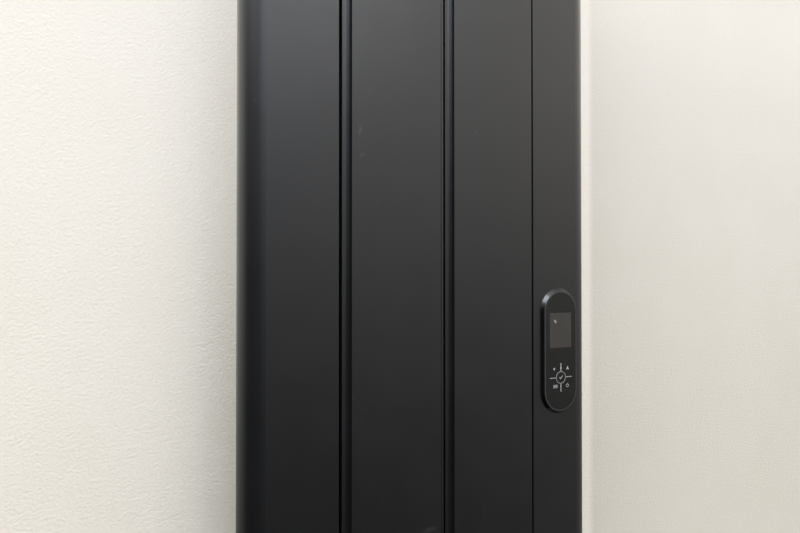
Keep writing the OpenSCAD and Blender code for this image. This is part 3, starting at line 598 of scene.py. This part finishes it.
def make_single_mark():
    """An ellipse on the front with an eaten outline."""
    sockets = {"Centre": (0.0, 0.0, 0.0), "Half size": (0.01, 1.0, 0.01), "Turn": 0.0, "Grain": 900.0}
    tree, gets, gives = new_group("single_mark", sockets, ["Mask"])
    offset = vector_calc(tree, "SUBTRACT", place(tree), gets["Centre"])
    shrunk = vector_calc(tree, "DIVIDE", turn_about_y(tree, offset, gets["Turn"]), gets["Half size"])
    inside = spread(tree, vector_calc(tree, "LENGTH", shrunk), 1.0, 0.25)
    eaten = spread(tree, cloud(tree, place(tree), gets["Grain"], 4, 0.7), 0.42, 0.62)
    plug(tree, gives["Mask"], times(tree, inside, eaten))
    return tree


single_mark = make_single_mark()
print("group:", single_mark.name)

# %% [markdown]
# ### Drawn lines
#
# Extruding, rolling and brushing all leave fine lines along one direction. Waves would come out too even,
# and a noise that is squeezed across the lines and stretched along them looks just like the real ones.

# %% Drawn lines


def make_drawn_lines():
    """A height of fine lines, along the axis where the stretch is small."""
    sockets = {"Stretch": (1.0, 1.0, 0.01), "Fineness": 900.0}
    tree, gets, gives = new_group("drawn_lines", sockets, ["Height"])
    stretched = vector_calc(tree, "MULTIPLY", place(tree), gets["Stretch"])
    plug(tree, gives["Height"], cloud(tree, stretched, gets["Fineness"], 3, 0.6))
    return tree


drawn_lines = make_drawn_lines()
print("group:", drawn_lines.name)

# %% [markdown]
# ## Satin black coat
#
# The panels, the covers and the top cap share one satin black powder coat, close to black and a little
# cool. The shine is soft, so the roughness sits near 0.4 and changes where the surface was touched. Under
# the skin the extruded panels keep the faint lines of their die, which run along the height. The brackets'
# coat and the plastic of the side housing's caps and gland differ only in tone, gloss and grain, so one
# function makes all four.

# %% Coat material
DUST_TONE = (0.16, 0.155, 0.14, 1)
WORN_TONE = (0.055, 0.056, 0.058, 1)
MARK_STRENGTH = 0.6
PANEL_FRONT = -0.1


def dusty(tree, dirt, share, tone):
    """The tone with up to that share of dust over it."""
    return lay_over(tree, tone, DUST_TONE, dirt["Dust"], share)


def coat_material(name, base, roughness, peel=700.0, marks=(), lines=None):
    """Powder coat with orange peel, dust, touched places, worn edges and, on a panel, die lines and marks."""
    tree, surface = new_material(name)
    grain = use_group(tree, coat_grain, Peel=peel)
    dirt = use_group(tree, dust_and_touch, Amount=0.2)
    worn = use_group(tree, worn_edges)["Mask"]
    deeper = tuple(0.82 * part for part in base)
    tone = blend(tree, spread(tree, grain["Mottle"], 0.3, 0.7), (*deeper, 1), (*base, 1))
    tone = lay_over(tree, tone, WORN_TONE, worn, 0.35)
    tone = dusty(tree, dirt, 0.5, tone)
    for x, z, half_x, half_z, turn, pale in marks:
        mark = use_group(
            tree, single_mark, Centre=(x, PANEL_FRONT, z), Half_size=(half_x, 1.0, half_z),
            Turn=math.radians(turn),
        )["Mask"]
        tone = lay_over(tree, tone, DUST_TONE, mark, pale * MARK_STRENGTH)
    shine = between(tree, dirt["Touch"], roughness, roughness - 0.035)
    shine = calc(tree, "SUBTRACT", shine, times(tree, worn, 0.08))
    paint = add(tree, "BsdfPrincipled", Base_Color=tone, Roughness=shine)
    height = grain["Height"]
    if lines:
        die_lines = use_group(tree, drawn_lines, Stretch=lines)["Height"]
        height = calc(tree, "MULTIPLY_ADD", die_lines, 0.5, height)
    add_bump(tree, paint, height, 0.11, 0.00006)
    plug(tree, surface, paint.outputs[0])


print("coat maker ready, marks at", PANEL_FRONT)

# %% Coats
SATIN = (0.0055, 0.0055, 0.0057)

# Centre x and z, half width and half height in metres, turn in degrees, and how pale the mark is
MARKS = [
    (-0.0700, 0.4311, 0.0030, 0.0016, 20, 0.30),
    (-0.0792, 0.3965, 0.0024, 0.0060, -12, 0.45),
    (-0.0773, 0.3758, 0.0040, 0.0022, 35, 0.35),
    (0.0369, 0.4070, 0.0012, 0.0034, 10, 0.40),
    (-0.0119, 0.0506, 0.0110, 0.0030, 4, 0.30),
    (0.0459, 0.0571, 0.0005, 0.0100, 3, 0.55),
    (-0.1000, 0.4450, 0.0120, 0.0050, 30, 0.12),
    (0.0830, 0.3360, 0.0016, 0.0016, 0, 0.35),
]

coat_material("panel_coat", SATIN, 0.375, marks=MARKS, lines=(1.0, 1.0, 0.004))
coat_material("sheet_coat", SATIN, 0.40, peel=820.0)
coat_material("bracket_coat", (0.0085, 0.0085, 0.0087), 0.46, peel=620.0)
coat_material("cap_plastic", (0.0085, 0.0085, 0.0086), 0.47, peel=1500.0)
print("finishes so far:", ", ".join(finishes))

# %% [markdown]
# ## Glossy control pod
#
# The pod is moulded in a black that is far smoother than the coat. It shows hairline scratches, a little
# dust and the grease of fingers round the keys. All of it is in the roughness and the tone, because on
# gloss the eye sees such marks as a change of shine and hardly as relief. The pod's parts are found from
# their boxes in the frame.

# %% Places on the pod
pod_low, pod_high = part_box("pod_housing")
pod_centre = (Vector(pod_low) + Vector(pod_high)) / 2
face_low, face_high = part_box("pod_face")
screen_low, screen_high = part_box("screen")
ok_low, ok_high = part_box("ok_key")
key_centre = (Vector(ok_low) + Vector(ok_high)) / 2
front_y = ok_low[1]
print("pod centre", tuple(round(v, 4) for v in pod_centre), "front", round(front_y, 4))

# %% [markdown]
# ### The rim
#
# The rim round the pod's face is satin, and its tone is painted lighter as a highlight, which is why it shows
# as a thin lighter line. It belongs to the housing's own solid, so it gets no slot of its own. A mask picks
# it
# out instead: the distance to the stadium that the face fills, worked out in plain arithmetic.

# %% Rim mask
# How far outside the face's outline the rim starts and ends, and how far behind the front, in metres
RIM_START, RIM_END, RIM_DEPTH = (-0.0002, 0.0002), (0.0018, 0.0011), (0.0012, 0.0006)
# The rim's tone, painted lighter as a highlight
RIM_HIGHLIGHT_TONE = (0.031, 0.031, 0.032, 1)
rim_radius = (face_high[0] - face_low[0]) / 2
rim_straight = (face_high[2] - face_low[2]) / 2 - rim_radius


def diagonal(tree, across, along):
    """The length of a step across and a step along."""
    squares = calc(tree, "ADD", calc(tree, "POWER", across, 2.0), calc(tree, "POWER", along, 2.0))
    return calc(tree, "SQRT", squares)


def rim_mask(tree):
    """1 on the pod's front rim, from the distance to the stadium that the rim follows."""
    x, y, z = axes(tree, place(tree))
    across = calc(tree, "SUBTRACT", x, pod_centre.x)
    along = calc(tree, "ABSOLUTE", calc(tree, "SUBTRACT", z, pod_centre.z))
    past = calc(tree, "MAXIMUM", calc(tree, "SUBTRACT", along, rim_straight), 0.0)
    outwards = calc(tree, "SUBTRACT", diagonal(tree, across, past), rim_radius)
    near = times(tree, spread(tree, outwards, *RIM_START), spread(tree, outwards, *RIM_END))
    return times(tree, near, spread(tree, y, *(front_y + depth for depth in RIM_DEPTH)))


print("rim follows a radius of", round(rim_radius, 4))

# %% Glossy plastic


def gloss_material(name, base, roughness, rim=False):
    """Smooth black plastic with hairline scratches, dust, finger grease and, on the pod, the satin rim's
    painted highlight.
    """
    tree, surface = new_material(name)
    dirt = use_group(tree, dust_and_touch, Specks=420.0, Amount=0.8, Touch=60.0)
    scratches = use_group(tree, drawn_lines, Stretch=(1.0, 1.0, 0.05), Fineness=2600.0)["Height"]
    tone = dusty(tree, dirt, 0.45, (*base, 1))
    shine = between(tree, dirt["Touch"], roughness, roughness + 0.07)
    shine = calc(tree, "MULTIPLY_ADD", spread(tree, scratches, 0.66, 0.74), 0.08, shine)
    if rim:
        # On the rim the lighter tone is a painted highlight, and the added roughness is its satin
        edge = rim_mask(tree)
        tone = blend(tree, edge, tone, RIM_HIGHLIGHT_TONE)
        shine = calc(tree, "MULTIPLY_ADD", edge, 0.26, shine)
    plastic = add(tree, "BsdfPrincipled", Base_Color=tone, Roughness=shine, Specular_IOR_Level=0.40)
    add_bump(tree, plastic, cloud(tree, place(tree), 1400, 2), 0.08, 0.00002)
    plug(tree, surface, plastic.outputs[0])


gloss_material("pod_gloss", (0.0035, 0.0035, 0.0037), 0.19, rim=True)
gloss_material("face_gloss", (0.0050, 0.0052, 0.0047), 0.23)
gloss_material("switch_gloss", (0.0080, 0.0080, 0.0082), 0.27)
print("finishes so far:", len(finishes))

# %% [markdown]
# ### The screen
#
# The screen is off: behind clear glass lies a warm dark grey layer with a faint mottle and one small pale
# streak near its upper left corner. A real layer under real glass would cost noise in every render, and with
# nothing lit behind it a single surface with a thin clear coat looks the same.

# %% Screen glass
# The glint's place in from the screen's left edge and down from its top, and its half size, in metres
GLINT_IN, GLINT_DOWN, GLINT_SIZE = 0.0075, 0.0105, (0.0030, 1.0, 0.0015)


def screen_material():
    """Dark glass over a mottled grey layer, with one glint."""
    tree, surface = new_material("screen_glass")
    where = place(tree)
    mottle = spread(tree, cloud(tree, where, 120, 3, 0.6), 0.3, 0.7)
    tone = blend(tree, mottle, (0.029, 0.026, 0.0225, 1), (0.035, 0.032, 0.0275, 1))
    lower = spread(tree, axes(tree, where)[2], screen_high[2], screen_low[2])
    tone = lay_over(tree, tone, (0.037, 0.030, 0.0265, 1), lower, 0.5)
    glint = use_group(
        tree, single_mark, Centre=(screen_low[0] + GLINT_IN, front_y, screen_high[2] - GLINT_DOWN),
        Half_size=GLINT_SIZE, Turn=math.radians(-40), Grain=2400.0,
    )["Mask"]
    tone = blend(tree, glint, tone, (0.75, 0.74, 0.70, 1))
    dirt = use_group(tree, dust_and_touch, Specks=500.0, Amount=0.4, Touch=80.0)
    tone = dusty(tree, dirt, 0.4, tone)
    shine = between(tree, dirt["Touch"], 0.16, 0.24)
    glass = add(
        tree, "BsdfPrincipled", Base_Color=tone, Roughness=shine, Coat_Weight=0.15, Coat_Roughness=0.05
    )
    plug(tree, surface, glass.outputs[0])


screen_material()
print("finish: screen_glass")

# %% [markdown]
# ## Moulded, metal and electrical finishes
#
# Behind the housing everything is plain industry, and it shows through the slots, from behind and from
# below, so each finish gets its own pattern. All of them need a shader, a bump and an output, so one
# function does that and leaves only the pattern to each finish.

# %% What these finishes share


def dress(tree, shader, tone, roughness, metal=0.0):
    """Sets the shader's colour, its roughness and its share of metal."""
    plug(tree, shader.inputs["Base Color"], tone)
    plug(tree, shader.inputs["Roughness"], roughness)
    plug(tree, shader.inputs["Metallic"], metal)


def add_finish(make):
    """A material named after make(tree, shader), which may return a bump's height, strength and distance."""
    tree, surface = new_material(make.__name__)
    shader = add(tree, "BsdfPrincipled")
    relief = make(tree, shader)
    if relief:
        add_bump(tree, shader, *relief)
    plug(tree, surface, shader.outputs[0])
    print("finish:", make.__name__)


print("finish maker ready")

# %% [markdown]
# ### Zinc
#
# The rails, latches, chassis, nuts and inner screws are zinc-plated steel, whose coat grows in faint
# crystals. Voronoi cells have just that look, each with its own shade and gloss. The screws that show
# outside are blackened zinc, which rubs bright on its edges.

# %% Zinc-plated steel and blackened zinc


def zinc_steel(tree, shader):
    """Crystals of slightly different shade and gloss, yellowed where touched, with rolling lines."""
    pick = pick_cell(tree, add(tree, "TexVoronoi", Vector=place(tree), Scale=160.0))
    tone = blend(tree, pick, (0.44, 0.45, 0.46, 1), (0.58, 0.59, 0.60, 1))
    dirt = use_group(tree, dust_and_touch, Amount=0.4)
    tone = lay_over(tree, tone, (0.50, 0.47, 0.40, 1), dirt["Touch"], 0.35)
    dress(tree, shader, tone, between(tree, pick, 0.30, 0.42), metal=1.0)
    return use_group(tree, drawn_lines, Stretch=(0.02, 1.0, 1.0), Fineness=1400.0)["Height"], 0.1, 0.00002


def black_zinc(tree, shader):
    """Dark metal with bright worn edges."""
    dirt = use_group(tree, dust_and_touch, Amount=0.3)
    worn = use_group(tree, worn_edges, Radius=0.0004)["Mask"]
    tone = blend(tree, dirt["Touch"], (0.040, 0.040, 0.043, 1), (0.060, 0.060, 0.063, 1))
    tone = lay_over(tree, tone, (0.30, 0.30, 0.30, 1), worn, 0.5)
    dress(tree, shader, tone, between(tree, dirt["Touch"], 0.34, 0.44), metal=0.9)
    return use_group(tree, drawn_lines, Stretch=(1.0, 1.0, 0.05), Fineness=1600.0)["Height"], 0.1, 0.00002


add_finish(zinc_steel)
add_finish(black_zinc)

# %% [markdown]
# ### Bare aluminium and heating rods
#
# The heatsink and the cut-out's cup are bare aluminium with fine lines. The rods are bright steel that heat
# has turned brown in clouds. Their ends stay cold and pale, so the stain is held back by height.

# %% Aluminium and rods
# How far from the rod's middle it turns cold, in metres
COLD_END = (0.64, 0.69)


def aluminium(tree, shader):
    """Bright metal with lines along its height and a little dust."""
    dirt = use_group(tree, dust_and_touch, Amount=0.5)
    lines = use_group(tree, drawn_lines, Stretch=(1.0, 1.0, 0.01), Fineness=1100.0)["Height"]
    tone = blend(tree, lines, (0.60, 0.61, 0.63, 1), (0.72, 0.73, 0.74, 1))
    dress(tree, shader, dusty(tree, dirt, 0.5, tone), spread(tree, lines, 0.3, 0.7, 0.28, 0.42), metal=1.0)
    return lines, 0.12, 0.00003


def rod_steel(tree, shader):
    """Steel with brown clouds, paler towards both ends."""
    where = place(tree)
    stain = spread(tree, cloud(tree, where, 26, 3), 0.35, 0.68)
    tone = blend(tree, stain, (0.47, 0.46, 0.44, 1), (0.36, 0.27, 0.17, 1))
    from_middle = calc(tree, "ABSOLUTE", axes(tree, where)[2])
    tone = lay_over(tree, tone, (0.62, 0.60, 0.56, 1), spread(tree, from_middle, *COLD_END), 0.7)
    dress(tree, shader, tone, between(tree, stain, 0.34, 0.5), metal=0.9)
    return use_group(tree, drawn_lines, Stretch=(1.0, 1.0, 0.02))["Height"], 0.1, 0.00003


add_finish(aluminium)
add_finish(rod_steel)

# %% [markdown]
# ### Rubber, sleeves and pale plastic
#
# The brackets' rubber pads are dull, and dust sticks to them. The wires run in sleeves of braided glass
# yarn, which two waves that cross at a right angle draw well enough at this size. The flat cable and the
# key mat share that slot and stay out of sight. The probe's clip and the terminal block are a pale plastic
# that yellows where it is touched.

# %% Rubber, sleeve and pale plastic
YARN_PITCH = 0.0016


def wave(tree, value, pitch):
    """A sine over the value, one full wave for each pitch."""
    return calc(tree, "SINE", times(tree, value, 2 * math.pi / pitch))


def rubber(tree, shader):
    """Dull black with much dust."""
    dirt = use_group(tree, dust_and_touch, Amount=0.7)
    tone = dusty(tree, dirt, 0.5, (0.022, 0.022, 0.022, 1))
    dress(tree, shader, tone, between(tree, dirt["Touch"], 0.66, 0.8))
    return cloud(tree, place(tree), 1600, 3), 0.25, 0.00004


def sleeve(tree, shader):
    """Glass yarn braided over the wires: two waves that cross."""
    x, _, z = axes(tree, turn_about_y(tree, place(tree), math.radians(45)))
    crossing = times(tree, wave(tree, x, YARN_PITCH), wave(tree, z, YARN_PITCH))
    weave = calc(tree, "MULTIPLY_ADD", crossing, 0.5, 0.5)
    dress(tree, shader, blend(tree, weave, (0.47, 0.43, 0.36, 1), (0.66, 0.62, 0.54, 1)), 0.8)
    return weave, 0.5, 0.0002


def pale_plastic(tree, shader):
    """Cream plastic, a shade deeper where touched."""
    dirt = use_group(tree, dust_and_touch, Amount=0.6)
    tone = blend(tree, dirt["Touch"], (0.72, 0.69, 0.63, 1), (0.66, 0.62, 0.55, 1))
    dress(tree, shader, dusty(tree, dirt, 0.3, tone), between(tree, dirt["Touch"], 0.42, 0.54))
    return cloud(tree, place(tree), 1900, 2), 0.15, 0.00004


add_finish(rubber)
add_finish(sleeve)
add_finish(pale_plastic)

# %% [markdown]
# ### Boards, relay and transformer
#
# A circuit board is green solder mask over copper tracks, with tinned pads. The tracks are waves that a
# noise breaks into lengths, and square Voronoi cells give the pads. The relay's case is blue plastic, and
# the transformer shows the sheets of its core as fine stripes.

# %% Board, coloured part and coil
TRACK_PITCH, SHEET_PITCH = 0.004, 0.0009


def board(tree, shader):
    """Green solder mask over copper tracks, with rows of tinned pads."""
    where = place(tree)
    tracks = spread(tree, wave(tree, axes(tree, where)[1], TRACK_PITCH), 0.2, 0.5)
    broken = spread(tree, cloud(tree, place(tree, (1, 1, 0.2)), 90, 1), 0.48, 0.52)
    raised = times(tree, tracks, broken)
    tone = blend(tree, raised, (0.020, 0.105, 0.045, 1), (0.050, 0.190, 0.080, 1))
    cells = add(tree, "TexVoronoi", Vector=where, Scale=190.0)
    cells.distance = "CHEBYCHEV"
    pads = spread(tree, cells.outputs["Distance"], 0.17, 0.14)
    tone = blend(tree, pads, tone, (0.62, 0.60, 0.55, 1))
    dress(tree, shader, tone, between(tree, pads, 0.38, 0.3), metal=pads)
    return calc(tree, "ADD", tracks, pads), 0.2, 0.00006


def part_plastic(tree, shader):
    """Blue plastic with dust on it."""
    dirt = use_group(tree, dust_and_touch, Amount=0.7)
    tone = blend(tree, dirt["Touch"], (0.022, 0.060, 0.160, 1), (0.030, 0.078, 0.195, 1))
    dress(tree, shader, dusty(tree, dirt, 0.4, tone), between(tree, dirt["Touch"], 0.36, 0.5))
    return cloud(tree, place(tree), 1500, 2), 0.15, 0.00004


def coil(tree, shader):
    """The stacked sheets of a transformer's core."""
    stripes = wave(tree, axes(tree, place(tree))[0], SHEET_PITCH)
    sheets = calc(tree, "MULTIPLY_ADD", stripes, 0.5, 0.5)
    tone = blend(tree, sheets, (0.045, 0.045, 0.050, 1), (0.115, 0.112, 0.110, 1))
    dress(tree, shader, tone, between(tree, sheets, 0.6, 0.45))
    return sheets, 0.4, 0.0001


add_finish(board)
add_finish(part_plastic)
add_finish(coil)

# %% [markdown]
# ### Pale lines and printed ink
#
# A pale ring frames the middle key, and four pale spokes run outwards between the others. The ring is the
# dullest, the level spokes are paler and the upright ones brightest, so the tone follows the place round
# the key centre. The ink of the symbols is thin and a little rubbed, and brighter on the two upper keys.

# %% Pale line and ink
# Distance from the key centre at which ring turns to spoke, and half the width of an upright spoke, in metres
SPOKE_START, UPRIGHT_HALF = (0.0062, 0.0072), (0.0020, 0.0010)
# Height over the key centre at which the upper keys' brighter ink starts
UPPER_INK = (0.004, 0.006)


def pale_line(tree, shader):
    """Ring and spokes in three tones, each a little worn."""
    where = place(tree)
    worn = spread(tree, cloud(tree, where, 700, 3, 0.6), 0.35, 0.7)
    x, _, z = axes(tree, where)
    across = calc(tree, "ABSOLUTE", calc(tree, "SUBTRACT", x, key_centre.x))
    along = calc(tree, "ABSOLUTE", calc(tree, "SUBTRACT", z, key_centre.z))
    spoke = spread(tree, diagonal(tree, across, along), *SPOKE_START)
    upright = times(tree, spoke, spread(tree, across, *UPRIGHT_HALF))
    tone = blend(tree, worn, (0.40, 0.40, 0.38, 1), (0.32, 0.32, 0.305, 1))
    tone = blend(tree, spoke, (0.27, 0.27, 0.26, 1), tone)
    tone = blend(tree, upright, tone, (0.64, 0.64, 0.615, 1))
    dress(tree, shader, tone, between(tree, worn, 0.34, 0.5))
    return cloud(tree, where, 2500, 2), 0.1, 0.00002


def printed_ink(tree, shader):
    """Rubbed pale ink, brighter on the upper keys. It is too thin to need a bump."""
    where = place(tree)
    worn = spread(tree, cloud(tree, where, 1500, 3, 0.6), 0.4, 0.75)
    tone = blend(tree, worn, (0.42, 0.42, 0.405, 1), (0.26, 0.26, 0.25, 1))
    upper = spread(tree, axes(tree, where)[2], *(key_centre.z + rise for rise in UPPER_INK))
    tone = blend(tree, upper, tone, (0.66, 0.66, 0.64, 1))
    dress(tree, shader, tone, between(tree, worn, 0.4, 0.55))


add_finish(pale_line)
add_finish(printed_ink)

# %% [markdown]
# ## Every solid gets its finish
#
# The CAD record says which finish slot each solid has, so a loop over the record dresses them all and none
# is forgotten. Most slots have one material of the same name. The satin black slot splits into panels,
# which have die lines and marks, and sheet parts, which don't. The gloss slot splits into the pod, its face
# and keys, and the switch below, and the screws outside are black.

# %% Assign materials
BY_NODE = {
    "left_panel": "panel_coat", "middle_panel": "panel_coat", "right_panel": "panel_coat",
    "pod_housing": "pod_gloss", "switch_body": "switch_gloss", "rocker": "switch_gloss",
    "top_cap_screws": "black_zinc", "bottom_cover_screws": "black_zinc", "side_cover_screws": "black_zinc",
}
BY_SLOT = {
    "satin_black": "sheet_coat", "black_steel": "bracket_coat", "black_plastic": "cap_plastic",
    "gloss_black": "face_gloss",
}
for part in frame["record"]["subparts"]:
    name, slot = part["node"], part["material_slot"]
    material = finishes[BY_NODE.get(name) or BY_SLOT.get(slot, slot)]
    for material_slot in nodes[name].material_slots:
        material_slot.link = "OBJECT"
        material_slot.material = material

# %% [markdown]
# ## Softened edges
#
# No real edge is razor sharp. A bend has a radius, a cut is deburred, and a coat rounds both, and it is
# this small round that catches the light along a seam. Modifiers do it without touching the CAD mesh. The
# meshes come with their faces apart, so Weld joins them and Decimate dissolves the lines inside flat faces.
# Bevel then rounds only edges between faces that meet at more than 40 degrees, at full width even where an
# edge is short, and Weighted Normal keeps the large faces flat in the light.

# %% Bevels
WELD_WITHIN = 0.00001
FLAT_WITHIN, SHARP_OVER = math.radians(0.3), math.radians(40)

# Radius in millimetres and the nodes that get it
EDGE_NODES = {
    0.5: ["side_cover", "side_top_cap", "side_bottom_cap", "power_relay"],
    0.4: [
        "top_cap", "bottom_cover", "upper_bracket", "lower_bracket", "rocker", "cable_gland",
        "terminal_block",
    ],
    0.35: ["upper_rail", "lower_rail"],
    0.3: [
        "left_panel", "right_panel", "side_chassis", "switch_body", "bracket_pads", "transformer",
        "gland_nut",
    ],
    0.2: ["pod_retainer", "triac_heatsink"],
    0.18: ["ok_key"],
    0.15: ["up_key", "power_key", "menu_key", "down_key", "upper_latch", "lower_latch"],
    0.12: ["middle_panel", "pod_face"],
    0.1: ["screen"],
}


def soften(node, radius):
    """Rounds the node's sharp edges by that many millimetres."""
    weld = node.modifiers.new("weld", "WELD")
    weld.merge_threshold = WELD_WITHIN
    merged = node.modifiers.new("whole_faces", "DECIMATE")
    merged.decimate_type = "DISSOLVE"
    merged.angle_limit = FLAT_WITHIN
    bevel = node.modifiers.new("bevel", "BEVEL")
    bevel.width = radius / 1000
    bevel.segments = 2
    bevel.limit_method = "ANGLE"
    bevel.angle_limit = SHARP_OVER
    bevel.use_clamp_overlap = False
    bevel.face_strength_mode = "FSTR_ALL"
    weighted = node.modifiers.new("weighted", "WEIGHTED_NORMAL")
    weighted.keep_sharp = True
    weighted.use_face_influence = True


for radius, names in EDGE_NODES.items():
    for name in names:
        soften(nodes[name], radius)
print("bevelled nodes:", sum(len(names) for names in EDGE_NODES.values()))

# %% [markdown]
# ## Symbols on the keys
#
# The symbols are printed ink, a few hundredths of a millimetre thick. They are plain signs that anyone may
# use: a tick in the middle, arrows up and down, a power sign, and three bars for the menu. Each is drawn as
# strokes with round ends along a line of points and given its thickness, because a mesh stays crisp close
# by, where a procedural mask would blur. It rides on its own key.

# %% Stroke maker
INK_THICKNESS = 0.00004
END_SIDES = 8


def stroke_outline(points, width):
    """The outline of one stroke of even width with round ends, through 2-D points."""
    half = width / 2
    left, right = [], []
    for i, point in enumerate(points):
        before, after = points[max(i - 1, 0)], points[min(i + 1, len(points) - 1)]
        first = (point - before).normalized() if i else (after - point).normalized()
        second = (after - point).normalized() if i < len(points) - 1 else first
        along = (first + second).normalized()
        normal = Vector((-along.y, along.x))
        stretch = half / max(0.35, along.dot(first))
        left.append(point + normal * stretch)
        right.append(point - normal * stretch)
    ends = []
    for point, toward in ((points[-1], points[-1] - points[-2]), (points[0], points[0] - points[1])):
        angle = math.atan2(toward.y, toward.x)
        turns = [angle - math.pi / 2 + math.pi * k / END_SIDES for k in range(1, END_SIDES)]
        ends.append([point + Vector((math.cos(a), math.sin(a))) * half for a in turns])
    return right + ends[0] + left[::-1] + ends[1]


def printed_sign(name, body, centre, strokes, width):
    """Raised ink on a key's front: each stroke is a list of (right, up) points in millimetres."""
    mesh = bpy.data.meshes.new(name)
    shape = bmesh.new()
    for points in strokes:
        outline = stroke_outline([Vector(p) for p in points], width)
        corners = [shape.verts.new((centre[0] + u / 1000, front_y, centre[1] + v / 1000)) for u, v in outline]
        made = bmesh.ops.extrude_face_region(shape, geom=[shape.faces.new(corners)])
        top = [item for item in made["geom"] if isinstance(item, bmesh.types.BMVert)]
        bmesh.ops.translate(shape, verts=top, vec=(0, -INK_THICKNESS, 0))
    bmesh.ops.recalc_face_normals(shape, faces=shape.faces)
    shape.to_mesh(mesh)
    shape.free()
    sign = bpy.data.objects.new(name, mesh)
    scene.collection.objects.link(sign)
    mesh.materials.append(finishes["printed_ink"])
    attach(sign, body)
    print(name, "on", body, "faces", len(mesh.polygons))


print("strokes end in", END_SIDES, "sides")

# %% [markdown]
# ### The five signs
#
# The outer keys lie on the diagonals round the middle key, and each sign sits near the middle of its own
# key. Two of them are printed a fraction of a millimetre off that place, as real prints are. The power
# sign's ring is an arc from a formula, and every other stroke needs only two or three points.

# %% Draw the signs
# Places of the outer signs from the key centre, and how far two prints lie off, in metres
SIDE, RISE = 0.0084, 0.0088
DOWN_OFF, POWER_OFF = (-0.0003, -0.0001), (-0.0001, 0.0003)
kx, kz = key_centre.x, key_centre.z


def arc(radius, start, end, steps=18):
    """Points on a circle, clockwise from the top by degrees."""
    angles = [math.radians(start + (end - start) * k / steps) for k in range(steps + 1)]
    return [(radius * math.sin(a), radius * math.cos(a)) for a in angles]


tick = [(-1.9, 0.1), (-0.6, -1.3), (2.0, 1.5)]
arrow_up = [(-0.95, -1.1), (0, 1.15), (0.95, -1.1)]
arrow_down = [(-0.75, 0.75), (0, -0.9), (0.75, 0.75)]
bars = [[(-1.2, rise), (3.7, rise)] for rise in (1.55, 0.35, -0.85)]
power = [arc(1.55, 38, 322), [(0, 0.4), (0, 2.2)]]

printed_sign("tick_sign", "ok_key", (kx, kz), [tick], 0.7)
printed_sign("up_sign", "up_key", (kx + SIDE, kz + RISE), [arrow_up], 0.65)
down_place = (kx - SIDE + DOWN_OFF[0], kz + RISE + DOWN_OFF[1])
printed_sign("down_sign", "down_key", down_place, [arrow_down], 0.5)
printed_sign("menu_sign", "menu_key", (kx - SIDE, kz - RISE), bars, 0.55)
power_place = (kx + SIDE + POWER_OFF[0], kz - RISE + POWER_OFF[1])
printed_sign("power_sign", "power_key", power_place, power, 0.5)

# %% [markdown]
# ## Sizes
#
# The growth that softened edges and ink add past the CAD box is printed, in millimetres.
# Softened edges and ink may not change the object's size.

# %% Sizes
low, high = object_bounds()
grown = [round(1000 * max(a - b, d - c), 3) for a, b, c, d in zip(cad_low, low, cad_high, high)]
print("grown by", grown, "mm")
